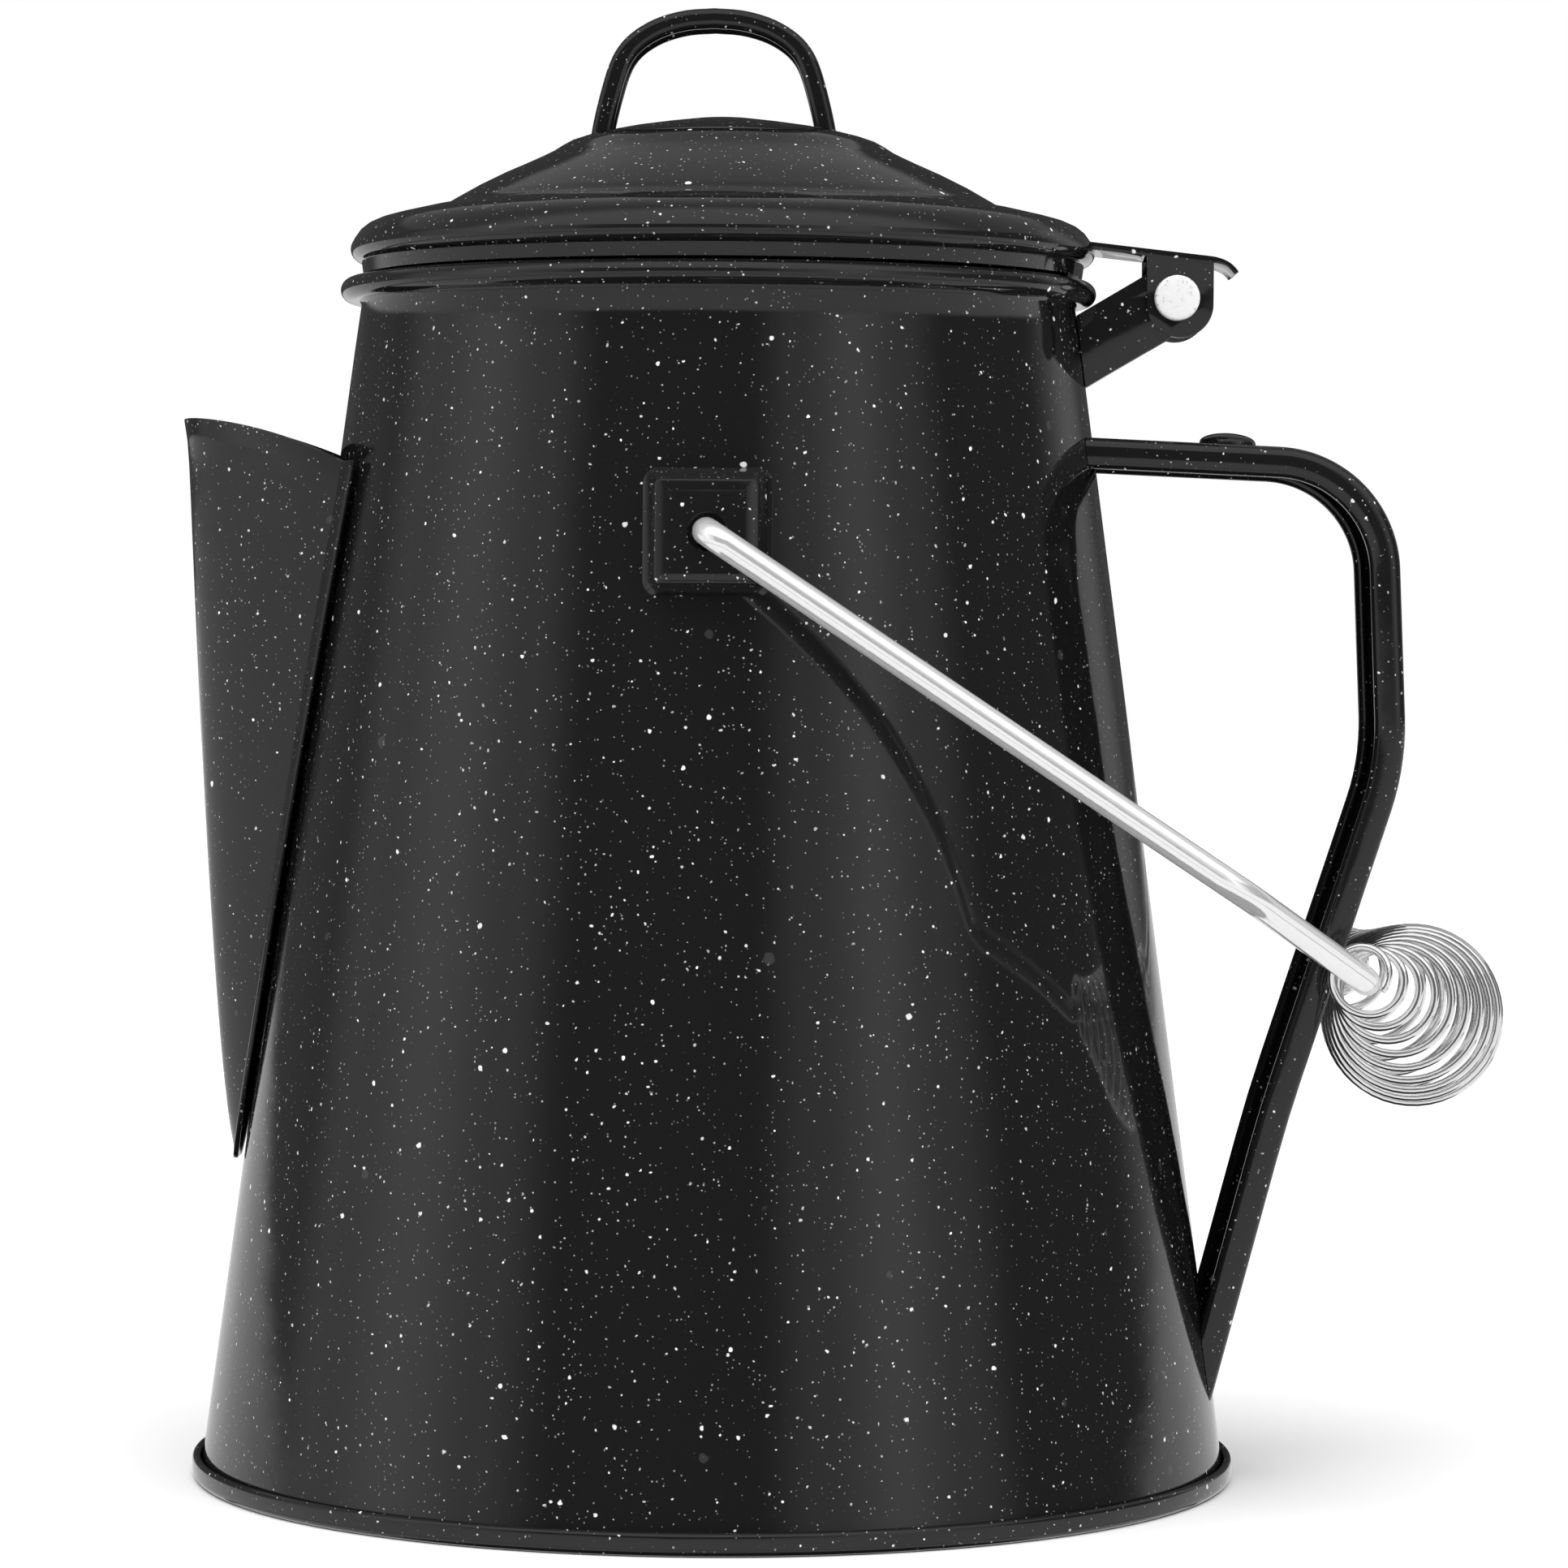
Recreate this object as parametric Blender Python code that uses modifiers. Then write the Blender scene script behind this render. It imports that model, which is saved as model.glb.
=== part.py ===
"""Camp coffee percolator: an enamelled steel pot with a pouring spout, a strap handle, a hinged
lid, a swinging wire bail with a coiled grip, and a lift-out pump with its coffee basket.

Frame: +Z is up and the pot stands on z = 0, with its turning axis on Z.  The spout points along
-X and the strap handle along +X.  Both halves are alike across the XZ plane.  Units are metres.
"""
import math

import bmesh
import bpy
from mathutils import Matrix, Vector

# ---- driving dimensions -----------------------------------------------------------------
GAP = 0.0003                # air left between touching pieces
SHEET = 0.0010              # enamelled sheet of the shells
STEPS = 60                  # facets round the big turned shells

BODY_FOOT_R = 0.1004        # outer radius the cone would have on the floor
BODY_TAPER = 0.134          # radius lost per unit of height
BODY_FOOT_Z = 0.0015        # the wall stands in the base's groove
RIM_Z = 0.2310              # centre of the rolled rim
RIM_R = 0.0738              # outer radius of the rolled rim
RIM_BEAD = 0.0023
MOUTH_R = 0.0683            # clear radius of the mouth

BASE_R = 0.1020             # outer radius of the seamed base
BASE_H = 0.0043
FLOOR_T = 0.0012

SPOUT_FOOT_Z = 0.061        # where the spout grows out of the wall
SPOUT_TIP_Z = 0.2062
SPOUT_CORNER_Z = 0.1972     # where its top edge meets the wall
SPOUT_FLANGE = 0.0060       # welded edge that lies on the wall
SPOUT_HALF_W = 0.0263       # half its width at the lip, where it meets the wall
SPOUT_FOOT_X = 0.0926       # distance of its ridge from the pot's axis, at the foot
SPOUT_REACH = 0.0105        # how much further out the ridge is at the lip
SPOUT_FLARE = 0.0007        # last turn-out of the lip

STRAINER_Z = 0.088          # lowest row of the strainer behind the spout
STRAINER_ROWS = 8
STRAINER_ROW_STEP = 0.014
STRAINER_PITCH = 0.0090
STRAINER_HOLE_R = 0.0024

LID_BEAD_R = 0.0727
LID_BOTTOM_Z = 0.2336
LID_TOP_Z = 0.2654
SKIRT_R = 0.0672            # short skirt that centres the lid in the mouth
SKIRT_Z = 0.2285
LID_SHIFT = 0.0008          # the lid sits this much towards its hinge

# Hinge: a bracket on the wall, a leaf on the lid's edge, and a rivet through both.
HINGE_X, HINGE_Z = 0.0891, 0.2301
HINGE_EAR_Y = 0.0100        # outer face of each ear of the leaf
HINGE_SHEET = 0.0014
LEAF_PATH = [(0.0680, 0.2414), (0.0962, 0.2382), (0.1010, 0.2352)]  # top face: root, knee, tab
LEAF_EAR_BACK = 0.0058      # the leaf's ears reach this far behind the pin,
LEAF_EAR_FRONT = 0.0071     # and this far in front of it
BRACKET_LEAN = 30.7         # degrees that the bracket rises from the wall
BRACKET_R = 0.00645         # its round end
BRACKET_RISE = 0.00055      # the end's centre lies this far above the pin
BRACKET_ROOT = 0.028        # from the pin back into the wall
PIN_R = 0.0024
PIN_HEAD_R = 0.0044
PIN_HEAD_H = 0.0016

HANDLE_W = 0.0360           # strap handle, across
HANDLE_D = 0.0060           # depth of its turned-in edges
# The strap's outer face: root in the wall, upper bend, start of the leg, the leg's slight bow, foot.
HANDLE_PATH = [(0.0640, 0.2032), (0.1313, 0.2003), (0.1338, 0.1398), (0.1116, 0.0715), (0.0932, 0.0020)]
HANDLE_RADII = [0.0245, 0.052, 0.300]    # bend radius at each inner corner of that path
BUTTON_X = 0.0998           # stud on the top arm
BUTTON_R = 0.0056
BUTTON_H = 0.0021
LID_HANDLE_W = 0.0120
LID_HANDLE_D = 0.0040
LID_HANDLE_TOP_Z = 0.2863
LID_HANDLE_SHIFT = -0.0010  # its middle, beside the pot's axis

EAR_Z = 0.1833              # height of the bail's axis
EAR_FACE_Y = 0.0822         # outer face of the ear boxes
EAR_HALF = 0.0097
EAR_HOLE_R = 0.0036
EAR_SHEET = 0.0012

BAIL_REST = math.radians(33.64)  # how far the bail hangs below the horizontal
BAIL_WIRE_R = 0.0026
BAIL_ARM_Y = 0.0890         # arms beside the ears
BAIL_CORNER = (0.1180, 0.0860)   # where the arms start to close in on the grip
BAIL_ELBOW_Y = 0.0425       # where they turn into the grip
WIRE_DIP = 0.0033           # how much deeper the wire lies inside the grip's end turns
COIL_WIRE_R = 0.00085
COIL_END_R = 0.0054         # centre line of the smallest turn
COIL_MID_R = 0.01725        # centre line of the widest turn
COIL_TURNS = 18
GRIP_HALF = 0.0400          # half the length of the grip
GRIP_INNER = 0.1483         # from the bail's axis to the near side of its widest turn
GRIP_TUCK = 0.0069          # how much nearer its ends lie
GRIP_SAG = 0.0014           # its middle hangs below the plane of the arms
GRIP_END_SAG = 0.0008
TURN_LEAN = 0.3             # share of the grip's bend that each turn follows

STEM_R = 0.0048
STEM_TOP_Z = 0.2440
BELL_R = 0.0400
BELL_TOP_Z = 0.0270
COLLAR_Z = 0.1480
BASKET_R = 0.0500
BASKET_BOTTOM_Z = COLLAR_Z + 0.0043
BASKET_H = 0.0600
BASKET_RINGS = [(0.014, 8), (0.025, 14), (0.036, 20)]    # rings of holes: radius, count
BASKET_HOLE_R = 0.0012


def wall_radius(z):
    """Outer radius of the conical wall at height z."""
    return BODY_FOOT_R - BODY_TAPER * z


# ---- scene, materials and small helpers -------------------------------------------------
for old in list(bpy.data.objects):
    bpy.data.objects.remove(old)
PARTS = bpy.data.collections.new("coffee_percolator")
CUTTERS = bpy.data.collections.new("cutters")
for group in (PARTS, CUTTERS):
    bpy.context.scene.collection.children.link(group)


def make_material(name, colour, roughness, metallic):
    material = bpy.data.materials.new(name)
    material.use_nodes = True
    shader = material.node_tree.nodes["Principled BSDF"]
    shader.inputs["Base Color"].default_value = (*colour, 1.0)
    shader.inputs["Roughness"].default_value = roughness
    shader.inputs["Metallic"].default_value = metallic
    return material


ENAMEL = ("black_enamel", (0.012, 0.012, 0.013), 0.12, 0.0)
WIRE = ("plated_wire", (0.83, 0.83, 0.84), 0.15, 1.0)
RIVET = ("bright_rivet", (0.80, 0.80, 0.80), 0.35, 1.0)
ALUMINIUM = ("plain_aluminium", (0.72, 0.73, 0.74), 0.38, 1.0)


def finish(obj, look, collection=PARTS):
    """Names the material after the piece, links the object and returns it."""
    if obj.name not in collection.objects:
        collection.objects.link(obj)
    obj.data.materials.clear()
    obj.data.materials.append(make_material(f"{look[0]}.{obj.name}", *look[1:]))
    return obj


def mesh_object(name, verts, faces, edges=()):
    mesh = bpy.data.meshes.new(name)
    mesh.from_pydata([tuple(v) for v in verts], list(edges), list(faces))
    mesh.update()
    return bpy.data.objects.new(name, mesh)


def from_bmesh(name, bm):
    mesh = bpy.data.meshes.new(name)
    bmesh.ops.recalc_face_normals(bm, faces=bm.faces)
    bm.to_mesh(mesh)
    bm.free()
    return bpy.data.objects.new(name, mesh)


def arc(cx, cy, radius, start, end, count):
    """Points on an arc, angles in degrees, both ends included."""
    turn = [math.radians(start + (end - start) * i / count) for i in range(count + 1)]
    return [(cx + radius * math.cos(a), cy + radius * math.sin(a)) for a in turn]


def rounded_path(corners, radii, step=math.radians(14)):
    """A 2D path through corners, each inner corner rounded by its radius."""
    points = [Vector(corners[0])]
    for before, corner, after, radius in zip(corners, corners[1:], corners[2:], radii):
        corner = Vector(corner)
        back = (Vector(before) - corner).normalized()
        ahead = (Vector(after) - corner).normalized()
        half = back.angle(ahead) / 2
        centre = corner + (back + ahead).normalized() * (radius / math.sin(half))
        reach = radius / math.tan(half)
        first, last = corner + back * reach, corner + ahead * reach
        sweep = math.pi - 2 * half
        count = max(2, round(sweep / step))
        u, v = first - centre, last - centre
        for i in range(count + 1):
            t = i / count
            blend = u * math.sin((1 - t) * sweep) + v * math.sin(t * sweep)
            points.append(centre + blend / math.sin(sweep))
    points.append(Vector(corners[-1]))
    return points


def bezier(p0, p1, p2, p3, count):
    """Points along a cubic curve, both ends included."""
    points = []
    for i in range(count + 1):
        t = i / count
        a, b, c, d = (1 - t) ** 3, 3 * t * (1 - t) ** 2, 3 * t * t * (1 - t), t ** 3
        points.append(Vector(p0) * a + Vector(p1) * b + Vector(p2) * c + Vector(p3) * d)
    return points


def turned(name, outline, look, closed=True, steps=STEPS, collection=PARTS):
    """A turned piece: its (radius, height) outline runs down the outer side."""
    count = len(outline)
    edges = [(i, i + 1) for i in range(count - 1)] + ([(count - 1, 0)] if closed else [])
    obj = mesh_object(name, [(r, 0.0, z) for r, z in outline], [], edges)
    screw = obj.modifiers.new("turn", "SCREW")
    screw.steps = screw.render_steps = steps
    screw.use_merge_vertices = True
    screw.merge_threshold = 0.00001
    screw.use_smooth_shade = True
    return finish(obj, look, collection)


def tube(name, points, radius, look, resolution=2):
    """A round wire along a polyline, with filled ends."""
    curve = bpy.data.curves.new(name, "CURVE")
    curve.dimensions = "3D"
    curve.bevel_depth = radius
    curve.bevel_resolution = resolution
    curve.use_fill_caps = True
    spline = curve.splines.new("POLY")
    spline.points.add(len(points) - 1)
    for spot, point in zip(spline.points, points):
        spot.co = (*point, 1.0)
    return finish(bpy.data.objects.new(name, curve), look)


def extruded(name, outline, y0, y1, look, collection=PARTS):
    """A solid whose (x, z) outline runs from y0 to y1."""
    bm = bmesh.new()
    face = bm.faces.new([bm.verts.new((x, y0, z)) for x, z in outline])
    swept = bmesh.ops.extrude_face_region(bm, geom=[face])
    moved = [v for v in swept["geom"] if isinstance(v, bmesh.types.BMVert)]
    bmesh.ops.translate(bm, verts=moved, vec=(0, y1 - y0, 0))
    return finish(from_bmesh(name, bm), look, collection)


def drum(name, centre, direction, radius, length, look, segments=16, collection=PARTS, top=None):
    """A cylinder, or a cone frustum if top is given, centred on a point, along a direction."""
    bm = bmesh.new()
    end = radius if top is None else top
    turn = Vector(direction).to_track_quat("Z", "Y").to_matrix().to_4x4()
    bmesh.ops.create_cone(bm, cap_ends=True, segments=segments, radius1=radius, radius2=end,
                          depth=length, matrix=Matrix.Translation(centre) @ turn)
    return finish(from_bmesh(name, bm), look, collection)


def hide_cutter(cutter):
    cutter.hide_render = True
    cutter.display_type = "WIRE"
    return cutter


def combine(obj, other, operation="DIFFERENCE"):
    """Adds a Boolean of obj with other, which becomes a hidden cutter."""
    boolean = obj.modifiers.new(operation.lower(), "BOOLEAN")
    boolean.operation = operation
    boolean.object = hide_cutter(other)
    return obj


def folded(name, rows, thickness, look):
    """A sheet piece: a grid of points, made solid on the side away from its normals."""
    width = len(rows[0])
    verts = [p for row in rows for p in row]
    faces = [(i * width + j, (i + 1) * width + j, (i + 1) * width + j + 1, i * width + j + 1)
             for i in range(len(rows) - 1) for j in range(width - 1)]
    obj = mesh_object(name, verts, faces)
    solid = obj.modifiers.new("sheet", "SOLIDIFY")
    solid.thickness = thickness
    solid.offset = -1.0
    solid.use_even_offset = True
    return finish(obj, look)


def channel(name, spine, width, depth, lip, corner, thickness, look):
    """A strap bent along an (x, z) spine, with its two edges turned in and hemmed."""
    half = width / 2
    side = [(half - lip, depth), (half, depth)]
    side += [(half - corner + y, corner - d) for y, d in arc(0, 0, corner, 0, 90, 2)]
    section = [(-y, d) for y, d in side] + [(y, d) for y, d in reversed(side)]
    rows = []
    for i, point in enumerate(spine):
        before, after = spine[max(i - 1, 0)], spine[min(i + 1, len(spine) - 1)]
        tangent = (after - before).normalized()
        inward = Vector((tangent.y, -tangent.x))
        if 0 < i < len(spine) - 1:
            bend = (point - before).angle(after - point)
            inward = inward / math.cos(bend / 2)
        rows.append([(point.x + inward.x * d, y, point.y + inward.y * d) for y, d in section])
    return folded(name, rows, thickness, look)


# ---- cutters that copy the neighbours' surfaces -----------------------------------------
def body_cone(name, clearance):
    """The wall's cone, grown by a clearance."""
    low, high = -0.02, 0.25
    cone = drum(name, (0, 0, (low + high) / 2), (0, 0, 1), wall_radius(low) + clearance,
                high - low, ENAMEL, STEPS, CUTTERS, wall_radius(high) + clearance)
    return hide_cutter(cone)


def lid_profile():
    """The lid's outer skin, from its centre down over the rounded edge."""
    crown = [(0.0, LID_TOP_Z), (0.0130, 0.2642), (0.0240, 0.2622), (0.0302, 0.2604)]
    shoulder = [(0.0330, 0.2586), (0.0430, 0.2539), (0.0530, 0.2486)]
    edge = [(0.0550, 0.2474), (0.0620, 0.2460), (0.0672, 0.2448), (0.0702, 0.2436), (0.0720, 0.2417)]
    return crown + shoulder + edge + [(LID_BEAD_R, 0.2392), (0.0721, 0.2357), (0.0700, LID_BOTTOM_Z)]


def lid_block(name, clearance):
    """Everything under the lid's skin, grown by a clearance."""
    skin = [(r + clearance if r else 0.0, z + clearance) for r, z in lid_profile()]
    block = turned(name, skin + [(0.0, LID_BOTTOM_Z - 0.004)], ENAMEL, False, STEPS, CUTTERS)
    block.location.x = LID_SHIFT
    return hide_cutter(block)


# ---- pot ----------------------------------------------------------------------------------
def strainer_holes():
    """Rows of small holes through the wall behind the spout."""
    bm = bmesh.new()
    turn = Vector((1, 0, 0)).to_track_quat("Z", "Y").to_matrix().to_4x4()
    for row in range(STRAINER_ROWS):
        z = STRAINER_Z + STRAINER_ROW_STEP * row
        reach = int((spout_half_width(z) - 0.005) / STRAINER_PITCH)
        for k in range(-reach, reach + 1):
            place = Matrix.Translation((-wall_radius(z), k * STRAINER_PITCH, z)) @ turn
            bmesh.ops.create_cone(bm, cap_ends=True, segments=8, radius1=STRAINER_HOLE_R,
                                  radius2=STRAINER_HOLE_R, depth=0.020, matrix=place)
    return finish(from_bmesh("strainer_cutter", bm), ENAMEL, CUTTERS)


def pot_body():
    top = RIM_Z + RIM_BEAD
    bead_r = RIM_R - RIM_BEAD
    rim = arc(MOUTH_R + RIM_BEAD, RIM_Z, RIM_BEAD, 180, 90, 3)
    rim += arc(bead_r, RIM_Z, RIM_BEAD, 90, -90, 6)
    neck_z = RIM_Z - RIM_BEAD
    outline = rim + [(wall_radius(neck_z), neck_z), (wall_radius(BODY_FOOT_Z), BODY_FOOT_Z),
                     (wall_radius(BODY_FOOT_Z) - SHEET, BODY_FOOT_Z),
                     (wall_radius(neck_z) - SHEET, neck_z - 0.001)]
    body = turned("pot_body", outline, ENAMEL)
    combine(body, strainer_holes())
    return body


def pot_base():
    inner = wall_radius(BODY_FOOT_Z) + GAP
    bead = (BASE_R - inner) / 2
    outline = [(0.0, FLOOR_T), (inner - 0.006, FLOOR_T), (inner, FLOOR_T)]
    outline += arc(inner + bead, BASE_H - bead, bead, 180, 0, 4)
    outline += [(BASE_R, 0.0012), (BASE_R - 0.0012, 0.0), (0.0, 0.0)]
    return turned("pot_base", outline, ENAMEL, False)


def spout_share(z):
    return max(0.0, (z - SPOUT_FOOT_Z) / (SPOUT_TIP_Z - SPOUT_FOOT_Z))


def spout_half_width(z):
    """Half the spout's width where it meets the wall."""
    return SPOUT_HALF_W * spout_share(z) ** 0.62


def spout_nose(z):
    """Distance of the spout's front ridge from the pot's axis."""
    share = spout_share(z)
    return SPOUT_FOOT_X + SPOUT_REACH * share ** 0.56 + SPOUT_FLARE * share ** 40


def spout():
    """A half-cone wall between two edges that lie on the pot, lofted from foot to lip."""
    sides = [1.0, 0.8, 0.6, 0.4, 0.24, 0.12, 0.04]
    levels = [0.0, 0.012, 0.04, 0.09, 0.17, 0.27, 0.40, 0.54, 0.68, 0.82, 0.93, 1.0]
    rows = []
    for level in levels:
        half = []
        for depth in ["edge"] + sides + [0.0]:
            share = 1.0 if depth == "edge" else depth
            top = SPOUT_TIP_Z - (SPOUT_TIP_Z - SPOUT_CORNER_Z) * share ** 1.6
            z = SPOUT_FOOT_Z + level * (top - SPOUT_FOOT_Z)
            seat = wall_radius(z) + GAP + SHEET
            angle = math.asin((spout_half_width(z) + 0.0012) / seat)
            if depth == "edge":
                angle += SPOUT_FLANGE / seat * min(1.0, 0.35 + 4 * level)
                half.append((-seat * math.cos(angle), seat * math.sin(angle), z))
            else:
                root = seat * math.cos(angle)
                nose = max(spout_nose(z), seat) if level else seat
                x = nose + (root - nose) * share
                half.append((-x, seat * math.sin(angle) * share ** 0.6, z))
        rows.append(half + [(x, -y, z) for x, y, z in reversed(half[:-1])])
    return folded("spout", rows, SHEET, ENAMEL)


def strap_handle(cone):
    spine = rounded_path(HANDLE_PATH, HANDLE_RADII, math.radians(9))
    handle = channel("strap_handle", spine, HANDLE_W, HANDLE_D, 0.0030, 0.0020, 0.0012, ENAMEL)
    return combine(handle, cone)


def handle_button():
    """Low lens on the handle's top arm."""
    (x0, z0), (x1, z1) = HANDLE_PATH[:2]
    slope = (z0 - z1) / (x1 - x0)
    outline = [(0.0, BUTTON_H), (0.45 * BUTTON_R, 0.88 * BUTTON_H), (0.8 * BUTTON_R, 0.5 * BUTTON_H),
               (BUTTON_R, 0.12 * BUTTON_H), (BUTTON_R, 0.0), (0.0, 0.0)]
    button = turned("handle_button", outline, ENAMEL, False, 20)
    button.location = (BUTTON_X, 0, z0 - slope * (BUTTON_X - x0) + 2 * GAP)
    button.rotation_euler = (0, math.atan(slope), 0)
    return button


def bail_ear(side, cone):
    """A square box with sloping flanks and a welded edge, drilled for the bail's end."""
    name = "bail_ear_left" if side < 0 else "bail_ear_right"
    depth = EAR_FACE_Y - (wall_radius(EAR_Z) - 0.004)
    rings = [(EAR_HALF + 0.0045, -depth), (EAR_HALF + 0.0045, -depth + 0.0030),
             (EAR_HALF + 0.0020, -depth + 0.0055), (EAR_HALF, -0.0010), (EAR_HALF - 0.0010, 0.0)]
    bm = bmesh.new()
    corners = [(-1, -1), (1, -1), (1, 1), (-1, 1)]
    loops = [[bm.verts.new((side * u * h, side * (EAR_FACE_Y + y), EAR_Z + v * h))
              for u, v in corners] for h, y in rings]
    for low, high in zip(loops, loops[1:]):
        for i in range(4):
            bm.faces.new((low[i], low[i - 1], high[i - 1], high[i]))
    bm.faces.new(loops[0])
    bm.faces.new(loops[-1])
    ear = finish(from_bmesh(name, bm), ENAMEL)
    inside = EAR_HALF - EAR_SHEET
    bm = bmesh.new()
    bmesh.ops.create_cube(bm, size=1.0)
    bmesh.ops.scale(bm, vec=(2 * inside, depth, 2 * inside), verts=bm.verts)
    shift = (0, side * (EAR_FACE_Y - EAR_SHEET - depth / 2), EAR_Z)
    bmesh.ops.translate(bm, vec=shift, verts=bm.verts)
    pocket = finish(from_bmesh(name + "_pocket", bm), ENAMEL, CUTTERS)
    hole = drum(name + "_hole", (0, side * EAR_FACE_Y, EAR_Z), (0, 1, 0), EAR_HOLE_R, 0.008,
                ENAMEL, 20, CUTTERS)
    for cutter in (pocket, hole, cone):
        combine(ear, cutter)
    return ear


# ---- hinge and lid ------------------------------------------------------------------------
def hinge_bracket(cone):
    """A folded channel, welded to the wall, whose two cheeks carry the pin."""
    lean = math.radians(BRACKET_LEAN)
    along = Vector((math.cos(lean), math.sin(lean)))
    up = Vector((-along.y, along.x))
    pin = Vector((HINGE_X, HINGE_Z))
    outer_y = HINGE_EAR_Y - HINGE_SHEET - GAP
    hub = pin + up * BRACKET_RISE
    root = hub - along * BRACKET_ROOT
    nose = [hub + Vector(p) for p in arc(0, 0, BRACKET_R, BRACKET_LEAN - 90, BRACKET_LEAN + 90, 8)]
    outline = [root - up * BRACKET_R] + nose + [root + up * BRACKET_R]
    bracket = extruded("hinge_bracket", outline, -outer_y, outer_y, ENAMEL)
    deep, beyond = BRACKET_R - HINGE_SHEET, 0.020
    floor = [root - up * deep, hub - along * 0.009 - up * deep,
             hub - along * 0.007 - up * beyond, hub + along * beyond - up * beyond,
             hub + along * beyond + up * beyond, root + up * beyond]
    inner_y = outer_y - HINGE_SHEET
    slot = extruded("bracket_slot", floor, -inner_y, inner_y, ENAMEL, CUTTERS)
    bore = drum("bracket_bore", (HINGE_X, 0, HINGE_Z), (0, 1, 0), PIN_R + GAP, 0.03,
                ENAMEL, 20, CUTTERS)
    for cutter in (slot, bore, cone):
        combine(bracket, cutter)
    return bracket


def hinge_leaf():
    """A plate welded to the lid's edge, with two ears round the pin and a curled thumb tab."""
    spine = rounded_path(LEAF_PATH, [0.005])
    below = []
    for i, point in enumerate(spine):
        tangent = (spine[min(i + 1, len(spine) - 1)] - spine[max(i - 1, 0)]).normalized()
        below.append(point - Vector((-tangent.y, tangent.x)) * HINGE_SHEET)
    plate = [tuple(p) for p in spine + below[::-1]]
    leaf = extruded("hinge_leaf", plate, -HINGE_EAR_Y - 0.0002, HINGE_EAR_Y + 0.0002, ENAMEL)
    ear_x0, ear_x1 = HINGE_X - LEAF_EAR_BACK, HINGE_X + LEAF_EAR_FRONT
    shape = [(ear_x0, 0.2386), (ear_x0, HINGE_Z - 0.0010)]
    shape += arc((ear_x0 + ear_x1) / 2, HINGE_Z - 0.0012, (ear_x1 - ear_x0) / 2, 190, 350, 7)
    shape += [(ear_x1, HINGE_Z), (ear_x1, 0.2370)]
    for side in (-1, 1):
        y0, y1 = side * HINGE_EAR_Y, side * (HINGE_EAR_Y - HINGE_SHEET)
        ear = extruded(f"leaf_ear_{side}", shape, min(y0, y1), max(y0, y1), ENAMEL, CUTTERS)
        combine(leaf, ear, "UNION")
    bore = drum("leaf_bore", (HINGE_X, 0, HINGE_Z), (0, 1, 0), PIN_R + GAP, 0.03,
                ENAMEL, 20, CUTTERS)
    combine(leaf, bore)
    combine(leaf, lid_block("lid_edge_cutter", GAP))
    return leaf


def hinge_pin():
    """A rivet with a low head outside each ear."""
    head_y = HINGE_EAR_Y + GAP
    outline = [(0.0, head_y + PIN_HEAD_H), (0.6 * PIN_HEAD_R, head_y + PIN_HEAD_H),
               (0.9 * PIN_HEAD_R, head_y + 0.75 * PIN_HEAD_H), (PIN_HEAD_R, head_y + 0.3 * PIN_HEAD_H),
               (PIN_HEAD_R, head_y), (PIN_R, head_y)]
    outline += [(r, -z) for r, z in reversed(outline)]
    pin = turned("hinge_pin", outline, RIVET, False, 20)
    pin.location = (HINGE_X, 0, HINGE_Z)
    pin.rotation_euler = (math.radians(90), 0, 0)
    return pin


def lid():
    """Stepped dome with a rounded edge, hollow below, and a skirt that enters the mouth."""
    skin = lid_profile()
    lining = [(SKIRT_R + 0.0020, LID_BOTTOM_Z), (SKIRT_R, LID_BOTTOM_Z - 0.0006), (SKIRT_R, SKIRT_Z),
              (SKIRT_R - SHEET, SKIRT_Z), (SKIRT_R - SHEET, 0.2396), (0.0615, 0.2448),
              (0.0540, 0.2462), (0.0335, 0.2569), (0.0240, 0.2608), (0.0, LID_TOP_Z - 0.0012)]
    dome = turned("lid", skin + lining, ENAMEL, False)
    dome.location.x = LID_SHIFT
    return dome


def lid_handle():
    """A low arch of channel strap with its feet welded to the lid's crown."""
    foot, knee, top = (0.0242, 0.2600), (0.0226, 0.2680), (0.0, LID_HANDLE_TOP_Z)
    half = bezier(knee, (0.0206, 0.2790), (0.0150, top[1]), top, 7)
    right = [Vector(foot)] + half
    middle = Vector((LID_HANDLE_SHIFT, 0))
    spine = [middle + Vector((-p.x, p.y)) for p in right] + [middle + p for p in right[-2::-1]]
    handle = channel("lid_handle", spine, LID_HANDLE_W, LID_HANDLE_D, 0.0024, 0.0016, 0.0011, ENAMEL)
    return combine(handle, lid_block("lid_crown_cutter", GAP))


# ---- bail ---------------------------------------------------------------------------------
def bail_point(along, y, lift=0.0):
    """World point from the bail's own plane: distance along the arms, across, and off the plane."""
    c, s = math.cos(BAIL_REST), math.sin(BAIL_REST)
    return Vector((along * c + lift * s, y, EAR_Z - along * s + lift * c))


def coil_radius(y):
    """Centre line radius of the turn at y: slender ends and a wide middle."""
    share = 1 - abs(y) / GRIP_HALF
    return COIL_END_R + (COIL_MID_R - COIL_END_R) * (share - 0.06 * math.sin(2 * math.pi * share))


def grip_inner(y):
    """Distance from the bail's axis to the near side of the turn at y."""
    return GRIP_INNER - GRIP_TUCK * (abs(y) / GRIP_HALF) ** 4


def grip_along(y):
    """Distance from the bail's axis to the centre of the turn at y."""
    return grip_inner(y) + coil_radius(y)


def grip_lift(y):
    return -GRIP_SAG + (GRIP_SAG - GRIP_END_SAG) * abs(y) / GRIP_HALF


def turn_tilt(y):
    """Angle between the turn at y and the lengthwise plane."""
    return TURN_LEAN * math.atan((grip_along(y - 0.0005) - grip_along(y + 0.0005)) / 0.001)


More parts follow.
